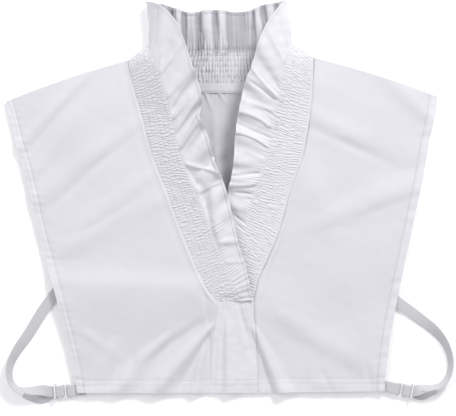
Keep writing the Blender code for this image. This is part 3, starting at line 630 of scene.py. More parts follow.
def principled(name: str, **values: object) -> tuple[Material, NodeTree, Node]:
    """A new material with its tree and its shader.

    Args:
        name: The material's name.
        **values: Names of the shader's inputs, with spaces as underscores, and their values.

    Returns:
        The material, its tree and its Principled BSDF.
    """
    material = bpy.data.materials.new(name)
    material.use_nodes = True
    tree = material.node_tree
    shader = tree.nodes[SHADER]
    set_inputs(shader, values)
    return material, tree, shader


def add_node(tree: NodeTree, kind: str, **values: object) -> Node:
    """Adds a node and sets its inputs by name.

    Args:
        tree: The tree that takes the node.
        kind: The node's type.
        **values: Input names, with spaces as underscores, and their values.

    Returns:
        The node.
    """
    node = tree.nodes.new(kind)
    set_inputs(node, values)
    return node


def add_wave(
    tree: NodeTree, source: NodeSocket, axis: str, pitch: float, distortion: float
) -> NodeSocket:
    """Bands of the given pitch across one axis.

    Args:
        tree: The material's tree.
        source: Coordinates that the bands follow.
        axis: X, Y or Z.
        pitch: Distance from band to band, in metres.
        distortion: How unevenly they run.

    Returns:
        The socket with the bands' height.
    """
    scale = math.tau / (WAVE_NODE_BANDS * pitch)
    wave = add_node(tree, "ShaderNodeTexWave", Scale=scale, Distortion=distortion, Detail=1.0)
    wave.bands_direction = axis
    tree.links.new(source, wave.inputs["Vector"])
    return wave.outputs["Fac"]


def add_math(tree: NodeTree, operation: str, *terms: NodeSocket | float) -> NodeSocket:
    """A sum, product or other operation on sockets or numbers.

    Args:
        tree: The tree that takes the node.
        operation: The Math node's operation.
        *terms: Its two or three sockets or numbers.

    Returns:
        The result's socket.
    """
    node = tree.nodes.new("ShaderNodeMath")
    node.operation = operation
    for place, value in enumerate(terms):
        if isinstance(value, (int, float)):
            node.inputs[place].default_value = value
        else:
            tree.links.new(value, node.inputs[place])
    return node.outputs[0]


def add_bump(
    tree: NodeTree, height: NodeSocket, depth: float, strength: float,
    normal: NodeSocket | None = None,
) -> NodeSocket:
    """A bump node.

    Args:
        tree: The material's tree.
        height: Socket with the height.
        depth: Metres between the lowest and highest places.
        strength: Share of it that shows.
        normal: Socket of an earlier bump, if any.

    Returns:
        The normal's socket.
    """
    bump = add_node(tree, "ShaderNodeBump", Strength=strength, Distance=depth)
    tree.links.new(height, bump.inputs["Height"])
    if normal is not None:
        tree.links.new(normal, bump.inputs["Normal"])
    return bump.outputs["Normal"]


def colour_between(
    tree: NodeTree, shader: Node, share: NodeSocket, dark: Colour, light: Colour
) -> None:
    """Colours a shader from dark to light by a socket's share.

    Args:
        tree: The material's tree.
        shader: Its Principled BSDF.
        share: Socket with 0 for the dark colour and 1 for the light one.
        dark: The dark colour, linear.
        light: The light colour, linear.
    """
    mix = tree.nodes.new("ShaderNodeMix")
    mix.data_type = "RGBA"
    inputs = [socket for socket in mix.inputs if socket.type == "RGBA"]
    for socket, colour in zip(inputs, (dark, light)):
        socket.default_value = (*colour, 1.0)
    tree.links.new(share, mix.inputs[0])
    made = next(socket for socket in mix.outputs if socket.type == "RGBA")
    tree.links.new(made, shader.inputs["Base Color"])


@dataclass(frozen=True)
class ClothFinish:
    """White plain-woven cotton blend, paler or darker by the shell's shade, which holds its painted shade.

    Colours are linear, and the second one is the colour of the deepest painted shade, in gathers, troughs,
    grooves, seams and cast shadows. Pitch and depths are in metres. The mottle is how far the slubs change
    its lightness, and mottle_low is what they add at their darkest.
    """

    name: str
    colour: Colour
    painted_shade: Colour
    weave: float = 0.0005
    weave_depth: float = 0.00006
    crumple_depth: float = 0.0005
    roughness: float = 0.86
    specular: float = 0.22
    sheen: float = 0.12
    mottle: float = 0.08
    mottle_low: float = -0.06

    def build(self) -> Material:
        """Makes the material: a weave, faint slubs and a soft crumple."""
        material, tree, shader = principled(
            self.name, Roughness=self.roughness, Specular_IOR_Level=self.specular, Sheen_Weight=self.sheen,
            Sheen_Roughness=0.5,
        )
        place = tree.nodes.new("ShaderNodeTexCoord").outputs["Object"]
        slubs = add_node(tree, "ShaderNodeTexNoise", Scale=38.0, Detail=5.0, Roughness=0.55)
        crumple = add_node(
            tree, "ShaderNodeTexNoise", Scale=150.0, Detail=4.0, Roughness=0.6, Distortion=0.4
        )
        for node in (slubs, crumple):
            tree.links.new(place, node.inputs["Vector"])
        warp, weft = (add_wave(tree, place, axis, self.weave, distortion=0.6) for axis in "XY")
        threads = add_math(tree, "MAXIMUM", warp, weft)
        soft = add_bump(tree, crumple.outputs["Fac"], self.crumple_depth, strength=0.2)
        woven = add_bump(tree, threads, self.weave_depth, strength=0.45, normal=soft)
        tree.links.new(woven, shader.inputs["Normal"])
        # Painted shade: the shade attribute mixes the colour towards the dark shade colour
        shade = tree.nodes.new("ShaderNodeAttribute")
        shade.attribute_name = SHADE_ATTRIBUTE
        light = add_math(tree, "MULTIPLY_ADD", slubs.outputs["Fac"], self.mottle, self.mottle_low)
        amount = add_math(tree, "ADD", shade.outputs["Fac"], light)
        amount.node.use_clamp = True
        colour_between(tree, shader, amount, self.painted_shade, self.colour)
        return material


@dataclass(frozen=True)
class ElasticFinish:
    """Smooth strap elastic with fine ribs along it and threads across.

    Colours are linear, and the shadow colour is painted shade in the ribs' grooves. Rib and cross are
    distances from one to the next, in metres, as their depths are. The contrast is the share of the two
    colours' difference that shows.
    """

    name: str
    colour: Colour
    shadow: Colour
    rib: float = 0.0009
    rib_depth: float = 0.0002
    cross: float = 0.0007
    cross_depth: float = 0.00008
    roughness: float = 0.48
    specular: float = 0.4
    sheen: float = 0.25
    contrast: float = 0.6

    def build(self) -> Material:
        """Makes the material: ribs along the band and a fine cross texture on its own map."""
        material, tree, shader = principled(
            self.name, Roughness=self.roughness, Sheen_Weight=self.sheen, Specular_IOR_Level=self.specular
        )
        place = tree.nodes.new("ShaderNodeUVMap")
        place.uv_map = BAND_MAP
        ribs = add_wave(tree, place.outputs["UV"], "Y", self.rib, distortion=0.0)
        cross = add_wave(tree, place.outputs["UV"], "X", self.cross, distortion=0.8)
        ribbed = add_bump(tree, ribs, self.rib_depth, strength=0.5)
        fine = add_bump(tree, cross, self.cross_depth, strength=0.35, normal=ribbed)
        tree.links.new(fine, shader.inputs["Normal"])
        # Painted shade: darker in the ribs' grooves, towards the shadow colour
        share = add_math(tree, "MULTIPLY_ADD", ribs, self.contrast, 1.0 - self.contrast)
        colour_between(tree, shader, share, self.shadow, self.colour)
        return material


@dataclass(frozen=True)
class SmoothFinish:
    """Moulded plastic, sewing thread or a painted floor: one colour, uneven in gloss and surface.

    The colour is linear. Grain and depth are the size and height of its unevenness, in metres, and
    gloss_range is how far its roughness changes from place to place.
    """

    name: str
    colour: Colour
    roughness: float
    subsurface: float = 0.0
    grain: float = 0.002
    depth: float = 0.00003
    gloss_range: float = 0.16

    def build(self) -> Material:
        """Makes the material."""
        body = {"Base_Color": (*self.colour, 1.0), "Subsurface_Weight": self.subsurface}
        material, tree, shader = principled(self.name, Subsurface_Scale=0.001, **body)
        place = tree.nodes.new("ShaderNodeTexCoord").outputs["Object"]
        noise = add_node(tree, "ShaderNodeTexNoise", Scale=1 / self.grain, Detail=3.0)
        tree.links.new(place, noise.inputs["Vector"])
        lowest = self.roughness - self.gloss_range / 2
        gloss = add_math(tree, "MULTIPLY_ADD", noise.outputs["Fac"], self.gloss_range, lowest)
        tree.links.new(gloss, shader.inputs["Roughness"])
        bumped = add_bump(tree, noise.outputs["Fac"], self.depth, strength=0.4)
        tree.links.new(bumped, shader.inputs["Normal"])
        return material


# Meshes

# Edges sharper than these stay crisp under smooth shading
CLOTH_SHARP_DEGREES = 60
BAND_SHARP_DEGREES = 70
# Outer cells of a shell to one cell of its plain inside
INNER_STEP = 2


@dataclass(frozen=True)
class Shell:
    """A closed thin wall between a fine outer grid and a coarser inner one.

    Attributes:
        name: Name of the piece.
        outer: Outer points, rows by columns.
        inner: Inner points, every step-th row and column of them.
        step: Outer cells to one inner cell.
        shade: How light the cloth is at each outer point, from 0 to 1, with its painted shade.
    """

    name: str
    outer: Array
    inner: Array
    step: int
    shade: Array

    def faces(self) -> list[list[int]]:
        """Corner numbers of every face, all turned outwards."""
        rows, columns = self.outer.shape[:2]
        top = np.arange(rows * columns).reshape(rows, columns)
        low_rows, low_columns = self.inner.shape[:2]
        low = np.arange(low_rows * low_columns).reshape(low_rows, low_columns) + rows * columns
        over = np.stack([top[:-1, :-1], top[:-1, 1:], top[1:, 1:], top[1:, :-1]], axis=-1).reshape(-1, 4)
        under = np.stack([low[:-1, :-1], low[1:, :-1], low[1:, 1:], low[:-1, 1:]], axis=-1).reshape(-1, 4)
        made = over.tolist() + under.tolist()
        edges = (
            (top[0, ::-1], low[0, ::-1]), (top[-1], low[-1]),
            (top[:, 0], low[:, 0]), (top[::-1, -1], low[::-1, -1]),
        )
        for fine, coarse in edges:
            for cell in range(len(coarse) - 1):
                span = fine[cell * self.step : (cell + 1) * self.step + 1]
                made.append([*span.tolist(), int(coarse[cell + 1]), int(coarse[cell])])
        first = self.outer[1:, 1:] - self.outer[:-1, :-1]
        second = self.outer[1:, :-1] - self.outer[:-1, 1:]
        if np.cross(first, second)[..., 2].sum() < 0:
            made = [face[::-1] for face in made]
        return made

    def build(self, finish: Material) -> Object:
        """Makes the piece.

        Args:
            finish: Its material.

        Returns:
            The object, linked to the scene.
        """
        points = np.concatenate([self.outer.reshape(-1, 3), self.inner.reshape(-1, 3)])
        mesh = bpy.data.meshes.new(self.name)
        mesh.from_pydata(points.tolist(), [], self.faces())
        lightness = np.concatenate([self.shade.reshape(-1), np.ones(self.inner[..., 0].size)])
        shades = mesh.attributes.new(SHADE_ATTRIBUTE, "FLOAT", "POINT")
        shades.data.foreach_set("value", lightness.astype(np.float32))
        mesh.shade_smooth()
        mesh.set_sharp_from_angle(angle=math.radians(CLOTH_SHARP_DEGREES))
        return add_piece(self.name, mesh, finish)


def add_piece(name: str, mesh: Mesh, finish: Material) -> Object:
    """Links a mesh to the scene as a piece with its material."""
    mesh.materials.clear()
    mesh.materials.append(finish)
    piece = bpy.data.objects.new(name, mesh)
    bpy.context.scene.collection.objects.link(piece)
    return piece


def thin_shell(name: str, middle: Array, relief: Array, shade: Array, thickness: float) -> Shell:
    """A shell on a middle surface, with relief on its outside only.

    Args:
        name: Name of the piece.
        middle: Middle of the cloth, rows by columns, both one more than a multiple of INNER_STEP.
        relief: Height of the outside above the plain cloth, in metres.
        shade: How light the cloth is at each outer point, with its painted shade.
        thickness: Thickness of the plain cloth, in metres.

    Returns:
        The shell.
    """
    upward = grid_normals(middle)
    outer = middle + upward * (thickness / 2 + relief)[..., None]
    inner = (middle - upward * thickness / 2)[::INNER_STEP, ::INNER_STEP]
    return Shell(name, outer, inner, INNER_STEP, shade)


class StitchMaker:
    """Makes rows of stitches along chains of points, with one Geometry Nodes tree.

    Attributes:
        SIZES: The tree's inputs and their usual values: sizes in metres, a share and a seed.
    """

    SIZES = {"Pitch": 0.0026, "Length": 0.0018, "Radius": 0.0002, "Unevenness": 0.12, "Seed": 0}

    def __init__(self, finish: Material) -> None:
        """Builds the tree.

        Args:
            finish: The thread's material.
        """
        self.finish = finish
        tree = bpy.data.node_groups.new("stitch_row", "GeometryNodeTree")
        face = tree.interface
        face.new_socket("Geometry", in_out="INPUT", socket_type="NodeSocketGeometry")
        self.inputs: dict[str, str] = {}
        for label, default in self.SIZES.items():
            kind = "NodeSocketInt" if label == "Seed" else "NodeSocketFloat"
            socket = face.new_socket(label, in_out="INPUT", socket_type=kind)
            socket.default_value = default
            self.inputs[label] = socket.identifier
        face.new_socket("Geometry", in_out="OUTPUT", socket_type="NodeSocketGeometry")
        self.tree = tree
        self._wire()

    def _wire(self) -> None:
        """Adds the nodes: resample the row, turn a short capsule along it at each point, realise, colour."""
        tree = self.tree
        given = tree.nodes.new("NodeGroupInput").outputs
        curve = tree.nodes.new("GeometryNodeMeshToCurve")
        spaced = tree.nodes.new("GeometryNodeResampleCurve")
        spaced.mode = "LENGTH"
        capsule = add_node(tree, "GeometryNodeMeshUVSphere", Segments=6, Rings=4, Radius=1.0)
        tangent = tree.nodes.new("GeometryNodeInputTangent")
        turn = tree.nodes.new("FunctionNodeAlignRotationToVector")
        turn.axis = "X"
        size = tree.nodes.new("ShaderNodeCombineXYZ")
        uneven = tree.nodes.new("FunctionNodeRandomValue")
        uneven.data_type = "FLOAT"
        lowest, highest = [socket for socket in uneven.inputs if socket.type == "VALUE"][:2]
        factor = next(socket for socket in uneven.outputs if socket.type == "VALUE")
        scaled = tree.nodes.new("ShaderNodeVectorMath")
        scaled.operation = "SCALE"
        placed = tree.nodes.new("GeometryNodeInstanceOnPoints")
        real = tree.nodes.new("GeometryNodeRealizeInstances")
        coloured = add_node(tree, "GeometryNodeSetMaterial", Material=self.finish)
        out = tree.nodes.new("NodeGroupOutput")
        links = (
            (given["Geometry"], curve.inputs["Mesh"]),
            (curve.outputs["Curve"], spaced.inputs["Curve"]),
            (given["Pitch"], spaced.inputs["Length"]),
            (add_math(tree, "MULTIPLY", given["Length"], 0.5), size.inputs["X"]),
            (given["Radius"], size.inputs["Y"]),
            (given["Radius"], size.inputs["Z"]),
            (add_math(tree, "SUBTRACT", 1.0, given["Unevenness"]), lowest),
            (add_math(tree, "ADD", 1.0, given["Unevenness"]), highest),
            (given["Seed"], uneven.inputs["Seed"]),
            (size.outputs[0], scaled.inputs[0]),
            (factor, scaled.inputs["Scale"]),
            (tangent.outputs[0], turn.inputs["Vector"]),
            (spaced.outputs["Curve"], placed.inputs["Points"]),
            (capsule.outputs["Mesh"], placed.inputs["Instance"]),
            (turn.outputs[0], placed.inputs["Rotation"]),
            (scaled.outputs[0], placed.inputs["Scale"]),
            (placed.outputs["Instances"], real.inputs["Geometry"]),
            (real.outputs["Geometry"], coloured.inputs["Geometry"]),
            (coloured.outputs["Geometry"], out.inputs["Geometry"]),
        )
        for source, goal in links:
            tree.links.new(source, goal)

    def sew(self, name: str, rows: Sequence[Array], **sizes: float) -> Object:
        """Sews rows of stitches as one piece.

        Args:
            name: Name of the piece.
            rows: Chains of points in metres.
            **sizes: Values for the tree's inputs, by their labels.

        Returns:
            The finished stitches.
        """
        points = np.concatenate(rows)
        edges, start = [], 0
        for row in rows:
            edges += [(start + place, start + place + 1) for place in range(len(row) - 1)]
            start += len(row)
        guide = bpy.data.meshes.new(name + "_guide")
        guide.from_pydata(points.tolist(), edges, [])
        sewn = add_piece(name, guide, self.finish)
        modifier = sewn.modifiers.new("stitches", "NODES")
        modifier.node_group = self.tree
        for label, value in sizes.items():
            modifier[self.inputs[label]] = value
        graph = bpy.context.evaluated_depsgraph_get()
        made = bpy.data.meshes.new_from_object(sewn.evaluated_get(graph))
        made.shade_smooth()
        sewn.modifiers.remove(modifier)
        sewn.data = made
        bpy.data.meshes.remove(guide)
        return sewn


def declare(piece: Object, replaced: Sequence[str] = ()) -> None:
    """Makes a piece ride on the garment, hides the solids that it replaces and logs its faces."""
    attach(piece, "root")
    if replaced:
        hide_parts(*replaced)
    LOG.info("%s: %d faces", piece.name, len(piece.data.polygons))


# The garment's sub-assemblies


@dataclass(frozen=True)
class Finishes:
    """The garment's materials, built once, and the maker of its stitches."""

    cloth: Material
    elastic: Material
    plastic: Material
    stitches: StitchMaker

    @classmethod
    def build(cls) -> "Finishes":
        """Makes the materials and the stitch tree."""
        thread = SmoothFinish(
            "white_thread", THREAD_WHITE, roughness=0.6, grain=0.0004, depth=0.00005
        ).build()
        return cls(
            cloth=ClothFinish("white_poplin", POPLIN_WHITE, POPLIN_PAINTED_SHADE).build(),
            elastic=ElasticFinish("white_elastic", ELASTIC_WHITE, ELASTIC_PAINTED_SHADE).build(),
            plastic=SmoothFinish("white_plastic", PLASTIC_WHITE, roughness=0.28, subsurface=0.15).build(),
            stitches=StitchMaker(thread),
        )


# Unevenness of the gathers: spread of their pitch and strength around 1, and the limits of both
PITCH_SPREAD, PITCH_LIMITS = 0.22, (0.55, 1.6)
STRENGTH_SPREAD, STRENGTH_LIMITS = 0.33, (0.3, 1.7)
GATHER_SHARPNESS = 1.1
# Share of a gather's height that is left under a shirring thread
HELD_SHARE = 0.3
WANDER_STEP_MM = 6.0
# Average distance between the folds that the gathers run together into
FOLD_PITCH_MM = 12
# The strip's foot: how far up it comes down, and how much of that its last shirring row takes
FOOT_REACH_MM = 9
ROOT_DROP_SHARE = 0.9
# Waves lower than this share of the highest count as troughs, which get painted shade
TROUGH_SHARE = 0.6
SOFTENING_ROUNDS = 5


@dataclass(frozen=True)
class CollarStrip:
    """A shirred band with the ruffle that stands on from its last row.

    Attributes:
        name: The CAD node that it replaces.
        sections: Cross-sections along it.
        crests: Its large waves.
        creases: Its creases.
        columns: Cells along it.
        margin: Plain share of the band beside the seam.
        seed: Fixes the unevenness of its gathers.
        pitch: Average distance from gather to gather, in millimetres.
        squareness: How much the waves are flaps with steep sides.
        painted_shade: How much painted shade darkens the waves' troughs.
        rise_power: How late the waves rise between the band and the free edge.
        droop: How far the waves' free ends lie down again.
        groove_shade: How much painted shade darkens it between the gathers, most on the shirring rows.
        flat: Size that the cloth is cut to, in metres; not used.
        band_rows: Cells from the seam to the last shirring row.
        ruffle_rows: Cells from there to the free edge.
        shirring_rows: Rows of shirring thread.
        gather_mm: Height of a gather.
        wandering: How far a gather strays between two shirring rows, as a share of the pitch.
        fold_mm: Height of the folds that the gathers run together into.
        foot_drop_mm: How far the strip comes down at its foot.
        smocked_foot: How much further the gathers reach out at the foot, in millimetres.
        thickness: Thickness of the cloth, in metres.
        hem_mm: Width of the free edge's narrow hem.
    """

    name: str
    sections: Sequence[Section]
    crests: Sequence[Crest]
    creases: Sequence[Crease]
    columns: int
    margin: float
    seed: int
    pitch: float = 3.3
    squareness: float = 0.6
    painted_shade: float = 0.0
    rise_power: float = 1.3
    droop: float = 0.0
    groove_shade: float = 0.15
    flat: tuple[float, float] = (0.08, 0.3)
    band_rows: int = 36
    ruffle_rows: int = 42
    shirring_rows: int = 6
    gather_mm: float = 0.62
    wandering: float = 0.3
    fold_mm: float = 0.8
    foot_drop_mm: float = 0.0
    smocked_foot: float = 0.0
    thickness: float = 0.0006
    hem_mm: float = 3.2

    def lines(self) -> tuple[Array, Array, Array, Array]:
        """Seam, root, free edge and bow at each column."""
        table = np.array(self.sections, float)
        seam, root, edge = (PLAN.metres(*table[:, first : first + 3].T) for first in (0, 3, 6))
        knots = lengths((seam + root) / 2)
        wanted = np.linspace(0, knots[-1], self.columns + 1)
        made = [smooth(knots, line, wanted) for line in (seam, root, edge, table[:, 9:] * PIXEL)]
        drop = self.foot_drop_mm * MM * ease(knots[-1] - FOOT_REACH_MM * MM, knots[-1], wanted)
        for line, share in zip(made, (0.0, ROOT_DROP_SHARE, 1.0)):
            line[:, 2] = np.maximum(line[:, 2] - share * drop, self.thickness)
        return tuple(made)

    def waves(self) -> tuple[Array, Array]:
        """Height of the ruffle's large waves at each column, and how much of a trough it is, from 0 to 1."""
        places = np.array([crest.place for crest in self.crests])
        rises = np.array([crest.rise for crest in self.crests]) * MM
        shares = np.linspace(0, 1, self.columns + 1)
        turns = np.interp(shares, places, np.arange(len(places)), left=-0.5, right=len(places) - 0.5)
        lobe = np.tanh(self.squareness * np.cos(math.tau * turns)) / math.tanh(self.squareness)
        height = np.interp(shares, places, rises) * (1 + lobe) / 2
        return height, 1 - np.clip(height / (TROUGH_SHARE * rises.max()), 0, 1)

    def gathers(self, along: Array, in_band: Array, draw: np.random.Generator) -> tuple[Array, Array]:
        """Where each place lies among the gathers, with a course of their own between each two shirring rows.

        Args:
            along: Distance along the strip in millimetres.
            in_band: Count of shirring rows passed, for each row of the grid.
            draw: The strip's source of unevenness.

        Returns:
            Gathers passed and their strength around 1, rows by columns.
        """
        count = int(along[-1] / self.pitch) + 2
        steps = self.pitch * np.clip(draw.normal(1, PITCH_SPREAD, count), *PITCH_LIMITS)
        starts = np.concatenate([[0], np.cumsum(steps)]) * along[-1] / steps.sum()
        passed = np.interp(along, starts, np.arange(count + 1))
        courses, strengths = [], []
        for _ in range(self.shirring_rows + 2):
            course = passed + self.wander(along, draw, self.wandering)
            courses.append(course)
            drawn = np.clip(draw.normal(1, STRENGTH_SPREAD, count + 1), *STRENGTH_LIMITS)
            strengths.append(np.interp(course, np.arange(count + 1), drawn))
        courses, strengths = np.array(courses), np.array(strengths)
        place = in_band + 0.5
        cell = place.astype(int)
        share = ease(0.3, 0.7, place - cell)[:, None]
        return (
            courses[cell] * (1 - share) + courses[cell + 1] * share,
            strengths[cell] * (1 - share) + strengths[cell + 1] * share,
        )

    def wander(self, along: Array, draw: np.random.Generator, reach: float) -> Array:
        """A slow uneven drift along the strip, within about the given reach."""
        knots = np.arange(0, along[-1] + 2 * WANDER_STEP_MM, WANDER_STEP_MM)
        return np.interp(along, knots, draw.normal(0, reach, len(knots)))

    def surface(self) -> tuple[Array, Array, Array, Array]:
        """The middle of the cloth, its outer relief, its painted shade, and the shirring rows passed at each
        row.
        """
        draw = np.random.default_rng(self.seed)
        seam, root, edge, bow = self.lines()
        waves, trough = self.waves()
        band = np.linspace(0, 1, self.band_rows + 1)
        ruffle = np.linspace(0, 1, self.ruffle_rows + 1)[1:]
        rows = [seam + (root - seam) * t for t in band]
        for q in ruffle:
            line = root + (edge - root) * q
            line[:, 0] += bow[:, 0] * 4 * q * (1 - q)
            line[:, 2] += waves * q**self.rise_power * (1 - self.droop * q**2)
            rows.append(line)
        middle = softened(np.array(rows), SOFTENING_ROUNDS)
        along = lengths((seam + root) / 2) / MM
        t = np.concatenate([band, np.ones(len(ruffle))])[:, None]
        q = np.concatenate([np.zeros(len(band)), ruffle])[:, None]
        reach = np.linalg.norm(edge - root, axis=1)[None, :] / MM
        out = q * reach
        in_band = np.clip((t - self.margin) / (1 - self.margin), 0, 1) * self.shirring_rows
        turns, strength = self.gathers(along, in_band[:, 0], draw)
        ridge = (0.5 + 0.5 * np.cos(math.tau * turns)) ** GATHER_SHARPNESS
        held = 1 - HELD_SHARE
        puff = HELD_SHARE + held * np.abs(np.sin(math.pi * in_band)) ** 0.7
        puff = np.where(q > 0, HELD_SHARE + held * ease(0, 2.4, out), puff)
        at_foot = self.smocked_foot * ease(0.86, 0.95, along / along[-1])[None, :]
        fade = np.exp(-out / (2.0 + 3.4 * strength**2 + at_foot))
        fade = ease(self.margin * 0.4, self.margin * 1.6, t) * fade
        gathered = self.gather_mm * strength * ridge * puff * fade
        part = in_band - in_band.astype(int)
        on_row = hump(part - np.round(part), 0.13) * (in_band > 0) * (q == 0)
        folds = self.medium_folds(along, out, reach, draw)
        x, y = PLAN.pixels(middle)
        folds += crease_heights(self.creases, x, y) * ease(0.0, 6.0, out + (t >= 1) * 0.5)
        folds += RUFFLE_SWELL.reseeded(self.seed).at(middle) * ease(0, 10, out)
        middle = middle + grid_normals(middle) * folds[..., None] * MM
        middle[..., 2] = np.maximum(middle[..., 2], self.thickness / 2 + 0.0001)
        inward = reach - out
        hem = 0.4 * (1 - ease(self.hem_mm - 0.5, self.hem_mm + 0.3, inward)) * (q > 0)
        hem -= 0.35 * hump(inward - self.hem_mm, 0.7) * (q > 0)
        relief = np.maximum(gathered + hem, -0.3) * MM
        # Painted shade: darker between the gathers, most along the shirring rows, and darker in the waves'
        # troughs
        shade = 1 - self.groove_shade * (1 - ridge) * np.maximum(on_row, 0.3) * fade
        shade = shade - self.painted_shade * trough[None, :] * ease(0.0, 5.0, out + 3 * (in_band > 5.5))
        return middle, relief, np.clip(shade, 0, 1), in_band[:, 0]

    def medium_folds(self, along: Array, out: Array, reach: Array, draw: np.random.Generator) -> Array:
        """Folds that the gathers run together into, further out on the ruffle.

        Args:
            along: Distance along the strip in millimetres.
            out: Distance out from the last row, rows by columns.
            reach: Width of the ruffle at each column.
            draw: The strip's source of unevenness.

        Returns:
            Heights in millimetres.
        """
        count = int(along[-1] / FOLD_PITCH_MM)
        places = np.linspace(0, along[-1], count) + draw.normal(0, 3.2, count)
        total = np.zeros(out.shape)
        for place in places:
            width = draw.uniform(1.3, 2.8)
            height = draw.choice([-1, 1, 1]) * draw.uniform(0.3, 1.3) * self.fold_mm
            lean, length = draw.normal(0, 0.12), draw.uniform(0.35, 0.9)
            away = along[None, :] - place - lean * out
            spread = width * (1 + out / 22)
            fading = 1 - ease(length * 0.4, length, out / reach) * 0.85
            total += height * hump(away, spread) * ease(0, 5, out) * fading
        return total

    def above(self, middle: Array, relief: Array) -> Array:
        """Where a thread's middle lies above each point of the cloth."""
        return middle + grid_normals(middle) * (self.thickness / 2 + relief + THREAD_LIFT)[..., None]

    def thread_rows(self, above: Array, in_band: Array) -> list[Array]:
        """Chains of points along each shirring row.

        Args:
            above: Places for a thread over each point of the cloth.
            in_band: Count of shirring rows passed, for each row of the grid.

        Returns:
            The chains.
        """
        passed = in_band[: self.band_rows + 1]
        numbers = range(1, self.shirring_rows + 1)
        return [above[int(np.argmin(np.abs(passed - number))), 4:-4:2] for number in numbers]

    def hem_row(self, above: Array, middle: Array) -> Array:
        """A chain of points along the ruffle's narrow hem."""
        width = np.linalg.norm(middle[-1] - middle[self.band_rows], axis=1).mean() / MM
        row = len(middle) - 1 - max(1, round(self.hem_mm / (width / self.ruffle_rows)))
        return above[row, 6:-6:2]

    def dress(self, finishes: Finishes) -> None:
        """Builds the strip, its shirring threads and its hem stitches.

        Args:
            finishes: The garment's materials.
        """
        middle, relief, shade, in_band = self.surface()
        cloth = thin_shell(self.name + "_cloth", middle, relief, shade, self.thickness).build(finishes.cloth)
        declare(cloth, [self.name])
        above = self.above(middle, relief)
        shirring = finishes.stitches.sew(
            self.name + "_shirring", self.thread_rows(above, in_band), Pitch=0.0031, Length=0.0017,
            Radius=0.00013, Seed=self.seed,
        )
        declare(shirring)
        hem = finishes.stitches.sew(
            self.name + "_edge_stitches", [self.hem_row(above, middle)], Pitch=0.0026, Length=0.0018,
            Radius=0.00014, Seed=self.seed + 1,
        )
        declare(hem)


def seam_line(sections: Sequence[Section], columns: int) -> Array:
    """The seam of a collar strip in pixels, at evenly spaced columns."""
    table = np.array(sections, float)
    seam, root = (PLAN.metres(*table[:, first : first + 3].T) for first in (0, 3))
    knots = lengths((seam + root) / 2)
    return smooth(knots, table[:, :2], np.linspace(0, knots[-1], columns + 1))


# The hems: their rise, how far in from their inner edge they are stitched, and the fold inside the bottom one
HEM_RISE_MM = 0.42
SIDE_STITCH_INSET_MM = 1.3
FOOT_STITCH_INSET_MM = 2.2
FOOT_FOLD_MM = 6.5
# How light a front is beside its hems: partly one layer of cloth beside a hem's two, partly painted shade
SINGLE_LAYER_AND_PAINTED_SHADE = 0.89
# Share of the slow swell that is left at the hems
HELD_SWELL = 0.35


def foot_hem(up_from_foot: Array, hem_mm: float) -> Array:
    """A bottom hem's share of its rise, 1 in the hem and 0 above it."""
    return 1 - ease(hem_mm - 0.8, hem_mm + 0.5, up_from_foot)


def foot_grooves(up_from_foot: Array, hem_mm: float) -> Array:
    """Depth of the stitch line and of the inner fold of a bottom hem, in millimetres."""
    stitched = 0.3 * hump(up_from_foot - hem_mm + FOOT_STITCH_INSET_MM, 0.8)
    return stitched + 0.2 * hump(up_from_foot - FOOT_FOLD_MM, 0.9)


